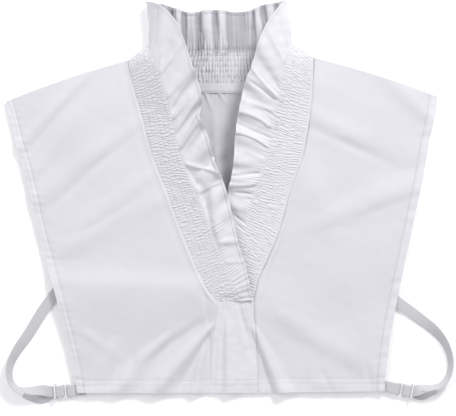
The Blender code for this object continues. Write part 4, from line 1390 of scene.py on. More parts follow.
@dataclass(frozen=True)
class FrontPanel:
    """One front: creased poplin between its hemmed free side and the collar's seam.

    Attributes:
        hand: Which front it is.
        side: Its free side.
        sections: The collar strip that it is sewn to.
        flat: Size that it is cut to, in metres; not used.
        area: Area that it is cut to, in square metres; not used.
        rows: Cells down it.
        columns: Cells across it.
        side_hem_mm: Width of the hem down its free side.
        bottom_hem_mm: Width of the hem along its foot.
        cad_wall_mm: Thickness of the solid's wall, which the cloth lies on top of.
        thickness: Thickness of the cloth, in metres.
        bulge_px: How far the shoulder edge bows up.
        bulge_share: Share of the front's length that the bow fades in.
        tuck_mm: How far it goes on under the collar's seam.
    """

    hand: Hand
    side: Sequence[Side]
    sections: Sequence[Section]
    flat: tuple[float, float]
    area: float
    rows: int = 230
    columns: int = 140
    side_hem_mm: float = 7.5
    bottom_hem_mm: float = 14.5
    cad_wall_mm: float = 1.2
    thickness: float = 0.0007
    bulge_px: float = 2.1
    bulge_share: float = 0.14
    tuck_mm: float = 1.6

    @property
    def name(self) -> str:
        """The CAD node that it replaces."""
        return f"front_{self.hand.name.lower()}"

    def seam_side(self) -> Array:
        """The edge along the collar and the placket, in pixels."""
        seam = seam_line(self.sections, 96)
        rows = [row for row in PLACKET if row.y > self.sections[-1].seam_y + 1]
        inner = [row.right_x if self.hand is Hand.RIGHT else row.left_x for row in rows]
        return np.concatenate([seam, np.column_stack([inner, [row.y for row in rows]])])

    def outline(self, shares: Array) -> tuple[Array, Array]:
        """The free side and the seam side at each row, as x, y and heights."""
        table = np.array(self.side, float)
        free = smooth(np.linspace(0, 1, len(table)), table, shares)
        seam = self.seam_side()
        knots = lengths(seam) / lengths(seam)[-1]
        return free, on_chain(shares, knots, seam)

    def surface(self) -> tuple[Array, Array, Array, Array, Array]:
        """The middle of the cloth, its relief, its shade, and distances in from the side and the bottom."""
        shares = np.linspace(0, 1, self.rows + 1)
        free, seam = self.outline(shares)
        width = np.hypot(*(seam - free[:, :2]).T)[:, None]
        across = np.linspace(0, 1, self.columns + 1)[None, :] * (1 + self.tuck_mm * MM / PIXEL / width)
        x = free[:, :1] + (seam[:, :1] - free[:, :1]) * across
        y = free[:, 1:2] + (seam[:, 1:2] - free[:, 1:2]) * across
        fade = np.clip(1 - shares / self.bulge_share, 0, 1)[:, None]
        y = y - self.bulge_px * np.sin(math.pi * np.clip(across, 0, 1)) * fade
        base = free[:, 2:3] + (free[:, 3:4] - free[:, 2:3]) * across
        height = np.maximum(base + crease_heights(MAIN_FOLDS, x, y), FRONT_LOW_MM) + self.cad_wall_mm
        height = height - self.thickness / MM / 2 + crease_heights(FRONT_CREASES, x, y)
        in_from_side = width * across * PIXEL / MM
        in_from_seam = width * (1 - across) * PIXEL / MM
        up_from_foot = (free[-1, 1] - y) * PIXEL / MM
        middle = PLAN.metres(x, y, height)
        loose = ease(0, 6, in_from_side) * ease(0, 8, up_from_foot)
        swell = FRONT_SWELL.reseeded(self.hand.value).at(middle)
        middle[..., 2] += swell * MM * (HELD_SWELL + (1 - HELD_SWELL) * loose)
        middle[..., 2] += FRONT_GRAIN.reseeded(self.hand.value).at(middle) * MM
        middle[..., 2] += self.hem_puckers(middle, in_from_side, up_from_foot) * MM
        middle[..., 2] += self.seam_form(in_from_seam) * MM
        middle[..., 2] = np.maximum(middle[..., 2], OVER_BACK)
        relief = self.hem_relief(in_from_side, up_from_foot)
        in_hem = np.minimum(in_from_side, up_from_foot - 3.5)
        hemmed = 1 - ease(self.side_hem_mm - 0.4, self.side_hem_mm + 0.4, in_hem)
        # Darker away from the hems: partly one layer against the hems' two, partly painted shade
        shade = SINGLE_LAYER_AND_PAINTED_SHADE + (1 - SINGLE_LAYER_AND_PAINTED_SHADE) * hemmed
        # Painted shade: dark lines along the inner edges of the side and bottom hems
        shade -= 0.35 * hump(in_from_side - self.side_hem_mm, 0.7)
        shade -= 0.18 * hump(up_from_foot - self.bottom_hem_mm, 0.7)
        # Painted shade: a dark line in the right front's groove beside the collar's seam
        if self.hand is Hand.RIGHT:
            shade = shade - 0.4 * hump(in_from_seam - 0.4, 0.6)
        return middle, relief * MM, np.clip(shade, 0, 1), in_from_side, up_from_foot

    def hem_puckers(self, middle: Array, in_from_side: Array, up_from_foot: Array) -> Array:
        """Small uneven waves where the hems are stitched, in millimetres."""
        along_side = SIDE_PUCKERS.reseeded(self.hand.value).at(middle * [0.2, 1, 1])
        along_foot = FOOT_PUCKERS.reseeded(self.hand.value).at(middle * [1, 0.2, 1])
        by_side = hump(in_from_side - self.side_hem_mm * 0.6, self.side_hem_mm)
        by_foot = hump(up_from_foot - self.bottom_hem_mm * 0.5, self.bottom_hem_mm * 0.7)
        return along_side * by_side + along_foot * by_foot

    def seam_form(self, in_from_seam: Array) -> Array:
        """Height of the edge by the collar: a ridge on the left, a groove on the right, tucked under."""
        tucked = -1.5 * (1 - ease(-self.tuck_mm, 0.4, in_from_seam))
        if self.hand is Hand.LEFT:
            return tucked + 0.6 * hump(in_from_seam - 1.2, 0.9) - 0.2 * hump(in_from_seam - 6.0, 2.4)
        return tucked + 0.5 * hump(in_from_seam - 3.4, 1.8) - 1.0 * hump(in_from_seam - 0.3, 0.8)

    def hem_relief(self, in_from_side: Array, up_from_foot: Array) -> Array:
        """Outer height of the turned hems and the grooves of their stitches, in millimetres."""
        side = 1 - ease(self.side_hem_mm - 0.7, self.side_hem_mm + 0.3, in_from_side)
        relief = HEM_RISE_MM * np.maximum(side, foot_hem(up_from_foot, self.bottom_hem_mm))
        relief -= 0.45 * hump(in_from_side - self.side_hem_mm + SIDE_STITCH_INSET_MM, 0.6)
        relief += 0.4 * hump(in_from_side - self.side_hem_mm * 0.6, 1.1)
        return relief - foot_grooves(up_from_foot, self.bottom_hem_mm)

    def stitch_row(self, top: Array, distance: Array, wanted: float, axis: int) -> Array:
        """A chain of points where a distance from an edge has the wanted value.

        Args:
            top: Outer points of the cloth.
            distance: Distance from the edge, at each point, in millimetres.
            wanted: Distance of the stitches from it.
            axis: 1 for a row down the side, 0 for a row along the foot.

        Returns:
            The chain.
        """
        lines = range(4, top.shape[0] - 2, 2) if axis == 1 else range(3, top.shape[1] - 6, 2)
        chain = []
        for number in lines:
            values = distance[number] if axis == 1 else distance[:, number][::-1]
            points = top[number] if axis == 1 else top[:, number][::-1]
            chain.append([np.interp(wanted, values, points[:, part]) for part in range(3)])
        return np.array(chain) + UP * THREAD_LIFT

    def dress(self, finishes: Finishes) -> None:
        """Builds the front and its hem stitches.

        Args:
            finishes: The garment's materials.
        """
        middle, relief, shade, in_from_side, up_from_foot = self.surface()
        cloth = thin_shell(self.name + "_cloth", middle, relief, shade, self.thickness)
        piece = cloth.build(finishes.cloth)
        declare(piece, [self.name])
        rows = [
            self.stitch_row(cloth.outer, in_from_side, self.side_hem_mm - SIDE_STITCH_INSET_MM, 1),
            self.stitch_row(cloth.outer, up_from_foot, self.bottom_hem_mm - FOOT_STITCH_INSET_MM, 0),
        ]
        sewn = finishes.stitches.sew(self.name + "_stitches", rows, Pitch=0.0027, Length=0.0019, Seed=5)
        declare(sewn)


@dataclass(frozen=True)
class PlacketStrip:
    """The gathered strip between the fronts.

    Attributes:
        flat: Size that it is cut to, in metres; not used.
        rows: Cells down it.
        columns: Cells across it.
        thickness: Thickness of the cloth, in metres.
        cad_wall_mm: Thickness of the solid's wall, which the cloth lies on top of.
        lift_mm: How much higher than the fronts it lies.
        hem_mm: Width of the hem along its foot.
        overlap: How far it goes over each front, as a share of its width.
        head_reach_px: Length of the gathered head, where the folds set in.
        head_lift_mm: How much higher the head lies, towards the collar.
        edge_roll_mm: How far its side edges turn down.
        pleats: How many small pleats the head is gathered into.
        pleat_mm: Their average height.
        seed: Fixes the pleats.
    """

    flat: tuple[float, float]
    rows: int = 150
    columns: int = 80
    thickness: float = 0.0007
    cad_wall_mm: float = 1.2
    lift_mm: float = 0.4
    hem_mm: float = 14.5
    overlap: float = 0.012
    head_reach_px: float = 36
    head_lift_mm: float = 2.2
    edge_roll_mm: float = 0.9
    pleats: int = 8
    pleat_mm: float = 0.7
    seed: int = 41

    def pleat_heights(self, across: Array, y: Array, width: Array) -> Array:
        """The small pleats under the collar's foot, in millimetres.

        Args:
            across: Share of the way across, at each column.
            y: Pixels down, at each point.
            width: The strip's width at each row, in millimetres.

        Returns:
            Heights, rows by columns.
        """
        draw = np.random.default_rng(self.seed)
        total = np.zeros(y.shape)
        for number in range(self.pleats):
            place = (number + 0.5) / self.pleats + draw.normal(0, 0.018)
            strong, far = draw.uniform(0.5, 1.2), draw.uniform(5, 14)
            fading = np.exp(-(y - PLACKET_HEAD_PX) * PIXEL / MM / far)
            total += strong * hump((across - place) * width, 1.0) * fading
        return total * self.pleat_mm

    def surface(self) -> tuple[Array, Array, Array, Array]:
        """The middle of the cloth, its relief, its shade and the distance up from its foot."""
        table = np.array(PLACKET, float)
        rows = smooth(table[:, 0], table, np.linspace(table[0, 0], table[-1, 0], self.rows + 1))
        across = np.linspace(-self.overlap, 1 + self.overlap, self.columns + 1)[None, :]
        x = rows[:, 1:2] + (rows[:, 2:3] - rows[:, 1:2]) * across
        y = np.repeat(rows[:, :1], self.columns + 1, axis=1)
        head = ease(table[0, 0], table[0, 0] + self.head_reach_px, y)
        height = rows[:, 3:4] + crease_heights(MAIN_FOLDS, x, y) * head + self.lift_mm * head
        height = np.maximum(height, FRONT_LOW_MM) + self.cad_wall_mm - self.thickness / MM / 2
        height += crease_heights(PLACKET_CREASES, x, y) * np.clip(0.3 + head, 0, 1)
        width = (rows[:, 2:3] - rows[:, 1:2]) * PIXEL / MM
        from_edge = np.minimum(across - across.min(), across.max() - across) * width
        height += self.head_lift_mm * (1 - ease(*HEAD_SLOPE_PX, y))
        height -= self.edge_roll_mm * (1 - ease(0, 1.3, from_edge))
        middle = PLAN.metres(x, y, height + self.pleat_heights(across, y, width))
        up_from_foot = (table[-1, 0] - y) * PIXEL / MM
        middle[..., 2] += PLACKET_SWELL.at(middle) * MM
        puckers = PLACKET_PUCKERS.at(middle * [1, 0.2, 1])
        middle[..., 2] += puckers * hump(up_from_foot - self.hem_mm * 0.5, self.hem_mm * 0.7) * MM
        middle[..., 2] = np.maximum(middle[..., 2], OVER_BACK)
        relief = HEM_RISE_MM * foot_hem(up_from_foot, self.hem_mm) - foot_grooves(up_from_foot, self.hem_mm)
        # Painted shade: a dark line along the inner edge of the bottom hem, and darker where the side edges
        # turn down
        shade = 1 - 0.18 * hump(up_from_foot - self.hem_mm, 0.7)
        shade = shade - 0.3 * (1 - ease(0, 1.2, from_edge))
        return middle, relief * MM, np.clip(shade, 0, 1), up_from_foot

    def dress(self, finishes: Finishes) -> None:
        """Builds the placket and its hem stitches.

        Args:
            finishes: The garment's materials.
        """
        middle, relief, shade, up_from_foot = self.surface()
        cloth = thin_shell("placket_cloth", middle, relief, shade, self.thickness)
        piece = cloth.build(finishes.cloth)
        declare(piece, ["placket"])
        row = int(np.argmin(np.abs(up_from_foot[:, 0] - self.hem_mm + FOOT_STITCH_INSET_MM)))
        chain = cloth.outer[row, 3:-3:2] + UP * THREAD_LIFT
        sewn = finishes.stitches.sew("placket_stitches", [chain], Pitch=0.0027, Length=0.0019, Seed=6)
        declare(sewn)


@dataclass(frozen=True)
class BackPanel:
    """The back, a flat sheet that shows inside the neck.

    Attributes:
        flat: Size that it is cut to, in metres; not used.
        area: Area that it is cut to, in square metres; not used.
        columns: Cells across it.
        rows: Cells down it.
        inset_px: How far its edges lie in from those of the fronts.
        thickness: Thickness of the cloth, in metres.
        seam_gap_px: Gap between it and the collar's back strip.
        bulge_px: How far its shoulder edges bow up.
        middle_mm: Height of the cloth's middle.
        row_power: How much closer the rows are at the neck than at the foot.
        gather_pitch_px: Distance between the small gathers under the neck seam.
        seed: Fixes the gathers.
    """

    flat: tuple[float, float]
    area: float
    columns: int = 240
    rows: int = 140
    inset_px: float = 2.5
    thickness: float = 0.0007
    seam_gap_px: float = 0.3
    bulge_px: float = 2.1
    middle_mm: float = 0.55
    row_power: float = 1.5
    gather_pitch_px: float = 3.4
    seed: int = 61

    def outline(self) -> tuple[Array, Array, Array, Array]:
        """Top, foot, left and right edges in pixels, with close columns inside the neck."""
        neck = seam_line(BACK_SECTIONS, 60)[1:-1] + [0, self.seam_gap_px]
        left_tip = np.array([LEFT_SIDE[0].x + self.inset_px, LEFT_SIDE[0].y + 0.6])
        right_tip = np.array([RIGHT_SIDE[0].x - self.inset_px, RIGHT_SIDE[0].y + 0.6])
        shares = np.linspace(0, 1, 20)[:, None]
        rise = -self.bulge_px * np.sin(math.pi * shares) * [0, 1]
        left = left_tip + (neck[0] - left_tip) * shares + rise
        right = neck[-1] + (right_tip - neck[-1]) * shares + rise
        top = np.concatenate([left[:-1], neck, right[1:]])
        knots = lengths(top)
        dense = np.interp(top[:, 0], [0, *NECK_SPAN_PX, IMAGE_WIDTH_PX], [0, 0.25, 0.75, 1])
        wanted = np.interp(np.linspace(dense[0], dense[-1], self.columns + 1), dense, knots)
        top = on_chain(wanted, knots, top)
        foot_y = LEFT_SIDE[-1].y - self.inset_px
        share = (top[:, 0] - left_tip[0]) / (right_tip[0] - left_tip[0])
        foot_width = RIGHT_SIDE[-1].x - LEFT_SIDE[-1].x - 2 * self.inset_px
        foot_x = LEFT_SIDE[-1].x + self.inset_px + share * foot_width
        foot = np.column_stack([foot_x, np.full(len(foot_x), foot_y)])
        down = np.linspace(0, 1, self.rows + 1) ** self.row_power
        sides = []
        for table, inward, tip in ((LEFT_SIDE, 1, left_tip), (RIGHT_SIDE, -1, right_tip)):
            points = np.array([(row.x + inward * self.inset_px, row.y) for row in table])
            points[0], points[-1, 1] = tip, foot_y
            sides.append(on_chain(down, lengths(points) / lengths(points)[-1], points))
        return top, foot, sides[0], sides[1]

    def surface(self) -> tuple[Array, Array, Array]:
        """The middle of the cloth, its relief and its painted shadows."""
        top, foot, left, right = self.outline()
        u = ((top[:, 0] - top[0, 0]) / (top[-1, 0] - top[0, 0]))[None, :, None]
        t = (np.linspace(0, 1, self.rows + 1) ** self.row_power)[:, None, None]
        corners = (1 - u) * ((1 - t) * top[0] + t * foot[0]) + u * ((1 - t) * top[-1] + t * foot[-1])
        flat = (1 - t) * top[None] + t * foot[None] + (1 - u) * left[:, None] + u * right[:, None] - corners
        x, y = flat[..., 0], flat[..., 1]
        middle = PLAN.metres(x, y, np.full(x.shape, self.middle_mm))
        inside = hump(x - NECK_PX, 42) * hump(y - NECK_DOWN_PX, 80)
        rise = np.maximum(crease_heights(BACK_CREASES, x, y), 0) + 0.5 * inside
        draw = np.random.default_rng(self.seed)
        below_seam = np.exp(-np.maximum(y - BACK_SEAM_PX, 0) / 7) * (y > BACK_TOP_PX)
        for place in np.arange(*GATHERED_PX, self.gather_pitch_px):
            place = place + draw.normal(0, 0.5)
            drift = (place - NECK_PX) * 0.012 * (y - FAN_PX)
            rise += draw.uniform(0.3, 1.0) * hump(x - place - drift, 0.9) * below_seam
        relief = (rise + 0.2 * inside * BACK_SWELL.at(middle)) * MM
        # Painted shadows: the right ruffle's shadow inside the neck, and the band's shadow under the neck
        # seam
        painted_ruffle_shadow = 0.4 * hump(x - RUFFLE_SHADOW_PX, 17) * hump(y - NECK_DOWN_PX, 70)
        painted_band_shadow = 0.3 * hump(y - BAND_SHADOW_PX, 4) * hump(x - NECK_PX, 30)
        return middle, np.maximum(relief, -0.0001), np.clip(1 - painted_ruffle_shadow - painted_band_shadow, 0, 1)

    def dress(self, finishes: Finishes) -> None:
        """Builds the back.

        Args:
            finishes: The garment's materials.
        """
        middle, relief, shade = self.surface()
        piece = thin_shell("back_panel_cloth", middle, relief, shade, self.thickness).build(finishes.cloth)
        declare(piece, ["back_panel"])


@dataclass(frozen=True)
class NeckBinding:
    """The strip over the back neck seam.

    Attributes:
        flat: Size that it is cut to, in metres; not used.
        columns: Cells along it.
        rows: Cells across it.
        above_px: How far it reaches above the seam.
        below_px: How far it reaches below the seam.
        end_cells: Cells of the seam that it leaves free at each end.
        low_mm: Height of its underside.
        thickness: Thickness of the cloth, in metres.
        stitch_inset_mm: How far in from its edges it is stitched.
        thread_lift: How far a thread's middle lies above it, in metres.
        base_shade: How light it is between its edges.
    """

    flat: tuple[float, float]
    columns: int = 180
    rows: int = 14
    above_px: float = 3.2
    below_px: float = 4.2
    end_cells: int = 18
    low_mm: float = 1.5
    thickness: float = 0.0008
    stitch_inset_mm: float = 1.2
    thread_lift: float = 0.0001
    base_shade: float = 0.88

    def dress(self, finishes: Finishes) -> None:
        """Builds the binding and its two rows of stitches.

        Args:
            finishes: The garment's materials.
        """
        neck = seam_line(BACK_SECTIONS, self.columns + 2 * self.end_cells)[self.end_cells : -self.end_cells]
        down = np.linspace(-self.above_px, self.below_px, self.rows + 1)[:, None]
        x = np.repeat(neck[None, :, 0], self.rows + 1, axis=0)
        y = neck[None, :, 1] + down
        middle = PLAN.metres(x, y, np.full(x.shape, self.low_mm + self.thickness / MM / 2))
        from_edge = np.minimum(down + self.above_px, self.below_px - down) * PIXEL / MM
        puckers = BINDING_PUCKERS.at(middle * [1, 0.15, 1])
        groove = hump(from_edge - self.stitch_inset_mm, 0.5)
        relief = puckers + 0.35 * ease(0, 1.4, from_edge) - 0.28 * groove
        # Painted shade: darker in the grooves of the two stitch rows
        shade = np.broadcast_to(self.base_shade - 0.3 * groove, relief.shape)
        cloth = thin_shell("neck_binding_cloth", middle, np.maximum(relief, -0.2) * MM, shade, self.thickness)
        piece = cloth.build(finishes.cloth)
        declare(piece, ["neck_binding"])
        inset = round(self.stitch_inset_mm * MM / PIXEL / (self.above_px + self.below_px) * self.rows)
        rows = [cloth.outer[row, 2:-2:2] + UP * self.thread_lift for row in (inset, self.rows - inset)]
        sewn = finishes.stitches.sew("neck_binding_stitches", rows, Pitch=0.0024, Length=0.0016, Seed=8)
        declare(sewn)


@dataclass(frozen=True)
class StrapSide:
    """One side strap with its tab, connector and slider. Sizes are in metres, as in the solids.

    Attributes:
        hand: Which side it is on.
        run: The strap's way out from the garment.
        back_run: Its way back from the connector.
        ending: Where the connector lies.
        flat: Size that the strap is cut to; not used.
        tab_flat: Size that the tab is cut to; not used.
        width, thickness: Those of the elastic.
        bar, bar_pitch, bar_height: Thickness of the connector's bars, their distance and their height.
        slider_wire: Radius of the slider's wire.
        slider_offset: How far back from the connector the slider is.
        slider_low, slider_high: Heights of its two runs.
        slider_lean: How far it leans back, in degrees.
        tuck: How far the tab goes in under the front.
        wall: Thickness of the solids' cloth, which the tab lies on.
        gap: Space between two pieces that touch.
        section_corners: Corners of the elastic's section.
        run_cells, return_cells, turn_points: Cells along the way out and back, and points round a bar.
        edge_power, face_power: How square the section's sides and faces are, less than 1 for squarer.
        bead: How much thicker it is beside its edges, as a share.
        bar_rounding: The bars' rounding as a share of their thickness.
        slider_corner: Radius of the slider's corners, in radii of its wire.
    """

    hand: Hand
    run: Sequence[Place]
    back_run: Sequence[Place]
    ending: Ending
    flat: tuple[float, float]
    tab_flat: tuple[float, float]
    width: float = 0.0105
    thickness: float = 0.0009
    bar: float = 0.0013
    bar_pitch: float = 0.0033
    bar_height: float = 0.0023
    connector_width: float = 0.0134
    slider_width: float = 0.0146
    slider_wire: float = 0.0008
    slider_offset: float = 0.0092
    slider_low: float = 0.0009
    slider_high: float = 0.0058
    slider_lean: float = 12.0
    tuck: float = 0.007
    wall: float = 0.0012
    gap: float = 0.0003
    section_corners: int = 28
    run_cells: int = 150
    return_cells: int = 60
    turn_points: int = 17
    edge_power: float = 0.45
    face_power: float = 0.7
    bead: float = 0.16
    bar_rounding: float = 0.3
    slider_corner: float = 1.6

    @property
    def side(self) -> str:
        """The side's word in the nodes' names."""
        return self.hand.name.lower()

    @property
    def turn_radius(self) -> float:
        """Radius of the elastic's middle round a bar, with room for the bar's corners."""
        return 0.8 * self.bar + self.gap + self.thickness / 2

    def point(self, along: float, across: float, height: float) -> Array:
        """A point in the connector's own directions, in metres."""
        origin = PLAN.metres(self.ending.x, self.ending.y, 0.0)
        angle = math.radians(self.ending.degrees)
        forward = np.array([math.cos(angle), math.sin(angle), 0.0])
        return origin + forward * along + self.outward() * across + UP * height

    def outward(self) -> Array:
        """The way from the middle of the strap to its outer edge, at the connector."""
        angle = math.radians(self.ending.degrees)
        return self.ending.outer_hand * np.array([math.sin(angle), -math.cos(angle), 0.0])

    def follow(self, places: Sequence[Place], steps: int, hand: int) -> tuple[Array, Array]:
        """Centres of a run of the strap and the direction of its outer edge.

        Args:
            places: The run's places.
            steps: Cells along it.
            hand: Side that its outer edge is on.

        Returns:
            Centres and directions.
        """
        table = np.array(places, float)
        flat = PLAN.metres(table[:, 0], table[:, 1], 0.0)
        knots = lengths(flat)
        wanted = np.linspace(0, knots[-1], steps + 1)
        centres = smooth(knots, flat, wanted)
        lean, lift = smooth(knots, table[:, 2:4], wanted).T
        lean = np.radians(lean)
        centres[:, 2] = np.maximum(lift, 0.05) * MM
        centres[:, 2] += self.width / 2 * np.abs(np.sin(lean)) + self.thickness / 2 * np.cos(lean)
        heading = np.gradient(centres[:, :2], axis=0)
        heading /= np.linalg.norm(heading, axis=1, keepdims=True)
        outward = hand * np.column_stack([heading[:, 1], -heading[:, 0]])
        return centres, np.column_stack([outward * np.cos(lean)[:, None], np.sin(lean)])

    def turn(self, middle: float, towards: int) -> list[Array]:
        """Half circle round a bar, from above it to below."""
        made = []
        for angle in np.linspace(math.pi / 2, -math.pi / 2, self.turn_points):
            along = middle + towards * self.turn_radius * math.cos(angle)
            made.append(self.point(along, 0.0, self.bar_height + self.turn_radius * math.sin(angle)))
        return made

    def band(self, name: str, centres: Array, across: Array, finish: Material) -> Object:
        """Sweeps the elastic's rounded flat section through the centres.

        Args:
            name: Name of the piece.
            centres: Middle of the band.
            across: Direction of its width at each centre.
            finish: Its material.

        Returns:
            The band, with a map of its own along and across it.
        """
        along = np.gradient(centres, axis=0)
        along /= np.linalg.norm(along, axis=1, keepdims=True)
        across = across - along * (across * along).sum(axis=1, keepdims=True)
        across /= np.linalg.norm(across, axis=1, keepdims=True)
        facing = np.cross(along, across)
        angles = np.linspace(0, math.tau, self.section_corners + 1)[:-1]
        wide = np.sign(np.cos(angles)) * np.abs(np.cos(angles)) ** self.edge_power
        thick = np.sign(np.sin(angles)) * np.abs(np.sin(angles)) ** self.face_power
        edge_bead = 1 + self.bead * hump(np.abs(wide) - 0.9, 0.09)
        section = across[:, None] * (wide * self.width / 2)[None, :, None]
        section = section + facing[:, None] * (thick * edge_bead * self.thickness / 2)[None, :, None]
        rings = centres[:, None] + section
        rings[..., 2] = np.maximum(rings[..., 2], 0.0)
        count = len(angles)
        numbers = np.arange(rings.shape[0] * count).reshape(-1, count)
        turned = np.roll(numbers, -1, axis=1)
        quads = np.stack([numbers[:-1], turned[:-1], turned[1:], numbers[1:]], axis=-1).reshape(-1, 4)
        mesh = bpy.data.meshes.new(name)
        caps = [numbers[0][::-1].tolist(), numbers[-1].tolist()]
        mesh.from_pydata(rings.reshape(-1, 3).tolist(), [], quads.tolist() + caps)
        work = bmesh.new()
        work.from_mesh(mesh)
        bmesh.ops.recalc_face_normals(work, faces=work.faces)
        work.to_mesh(mesh)
        work.free()
        distance = lengths(centres)
        band_map = mesh.uv_layers.new(name=BAND_MAP)
        corners = np.empty(len(mesh.loops), np.int32)
        mesh.loops.foreach_get("vertex_index", corners)
        places = np.column_stack([distance[corners // count], (wide * self.width / 2)[corners % count]])
        band_map.data.foreach_set("uv", places.astype(np.float32).reshape(-1))
        mesh.shade_smooth()
        mesh.set_sharp_from_angle(angle=math.radians(BAND_SHARP_DEGREES))
        return add_piece(name, mesh, finish)

    def strap(self, finishes: Finishes) -> None:
        """The long strap: out in a loop, round the connector's near bar and back along itself."""
        out, out_across = self.follow(self.run, self.run_cells, self.ending.outer_hand)
        back, back_across = self.follow(self.back_run, self.return_cells, -self.ending.outer_hand)
        turn = np.array(self.turn(-self.bar_pitch, 1))
        turn_across = np.repeat(self.outward()[None, :], len(turn), axis=0)
        centres = np.concatenate([out, turn, back])
        across = np.concatenate([out_across, turn_across, back_across])
        piece = self.band(f"strap_{self.side}_elastic", centres, across, finishes.elastic)
        declare(piece, [f"strap_{self.side}"])

    def tab(self, finishes: Finishes) -> None:
        """The doubled tab that holds the connector to the corner."""
        reach = self.ending.tab_length_px * PIXEL
        low = self.wall + self.gap + self.thickness / 2
        high = low + self.thickness + self.gap
        start = self.bar_pitch + self.bar
        keys = [(reach + self.tuck, high), (reach, high), (start, self.bar_height + self.turn_radius)]
        upper = self.between(keys)
        keys = [(start, self.bar_height - self.turn_radius), (reach, low), (reach + self.tuck, low)]
        lower = self.between(keys)
        centres = np.array(upper + self.turn(self.bar_pitch, -1) + lower)
        across = np.repeat(self.outward()[None, :], len(centres), axis=0)
        piece = self.band(f"strap_tab_{self.side}_elastic", centres, across, finishes.elastic)
        declare(piece, [f"strap_tab_{self.side}"])
        f"connector_{self.side}"

    def between(self, keys: Sequence[tuple[float, float]]) -> list[Array]:
        """Points along straight runs between places given as distance and height."""
        made = []
        for (first, low), (second, high) in zip(keys, keys[1:]):
            for share in np.linspace(0, 1, 8)[:-1]:
                made.append(self.point(first + (second - first) * share, 0.0, low + (high - low) * share))
        return [*made, self.point(keys[-1][0], 0.0, keys[-1][1])]

    def connector(self, finishes: Finishes) -> None:
        """The three-bar slide, with rounded bars."""
        work = bmesh.new()
        half = (self.connector_width - self.bar) / 2
        lines_along = [bar * self.bar_pitch + edge * self.bar / 2 for bar in (-1, 0, 1) for edge in (-1, 1)]
        lines_across = [side * half + edge * self.bar / 2 for side in (-1, 1) for edge in (-1, 1)]
        low = self.bar_height - self.bar / 2
        grid = [[work.verts.new(self.point(a, c, low)) for c in lines_across] for a in lines_along]
        for row in range(len(lines_along) - 1):
            for cell in range(3):
                if cell == 1 and row % 2 == 1:
                    continue
                near, far = grid[row], grid[row + 1]
                work.faces.new((near[cell], far[cell], far[cell + 1], near[cell + 1]))
        raised = bmesh.ops.extrude_face_region(work, geom=work.faces[:])["geom"]
        lifted = [element for element in raised if isinstance(element, bmesh.types.BMVert)]
        bmesh.ops.translate(work, verts=lifted, vec=Vector((0, 0, self.bar)))
        bmesh.ops.recalc_face_normals(work, faces=work.faces)
        sharp = [edge for edge in work.edges if edge.calc_face_angle(0.0) > math.radians(30)]
        rounding = self.bar * self.bar_rounding
        bmesh.ops.bevel(work, geom=sharp, offset=rounding, segments=3, profile=0.5, affect="EDGES")
        mesh = bpy.data.meshes.new(f"connector_{self.side}_plastic")
        work.to_mesh(mesh)
        work.free()
        mesh.shade_smooth()
        piece = add_piece(mesh.name, mesh, finishes.plastic)
        declare(piece, [f"connector_{self.side}"])

    def slider(self, finishes: Finishes) -> None:
        """The adjuster, a round wire loop about both runs of the strap."""
        half, corner = self.slider_width / 2, self.slider_wire * self.slider_corner
        low, high = self.slider_low, self.slider_high
        path = []
        for sx, sz, start in ((1, 1, 0.0), (-1, 1, 90.0), (-1, -1, 180.0), (1, -1, 270.0)):
            middle_across = sx * (half - corner)
            middle_height = (high - corner) if sz > 0 else (low + corner)
            for degrees in np.linspace(start, start + 90, 9):
                angle = math.radians(degrees)
                across = middle_across + corner * math.cos(angle)
                path.append((across, middle_height + corner * math.sin(angle)))
        centres = []
        for across, height in path:
            back = self.slider_offset + (height - low) * math.tan(math.radians(self.slider_lean))
            centres.append(self.point(-back, across, height))
        curve = bpy.data.curves.new("slider_path", "CURVE")
        curve.dimensions = "3D"
        curve.bevel_depth = self.slider_wire
        curve.bevel_resolution = 4
        spline = curve.splines.new("POLY")
        spline.points.add(len(centres) - 1)
        for point, centre in zip(spline.points, centres):
            point.co = (*centre, 1.0)
        spline.use_cyclic_u = True
        guide = bpy.data.objects.new("slider_guide", curve)
        bpy.context.scene.collection.objects.link(guide)
        graph = bpy.context.evaluated_depsgraph_get()
        mesh = bpy.data.meshes.new_from_object(guide.evaluated_get(graph))
        bpy.data.objects.remove(guide)
        mesh.shade_smooth()
        piece = add_piece(f"slider_{self.side}_plastic", mesh, finishes.plastic)
        declare(piece, [f"slider_{self.side}"])

    def dress(self, finishes: Finishes) -> None:
        """Builds the strap, its tab and both fittings."""
        self.strap(finishes)
        self.tab(finishes)
        self.connector(finishes)
        self.slider(finishes)


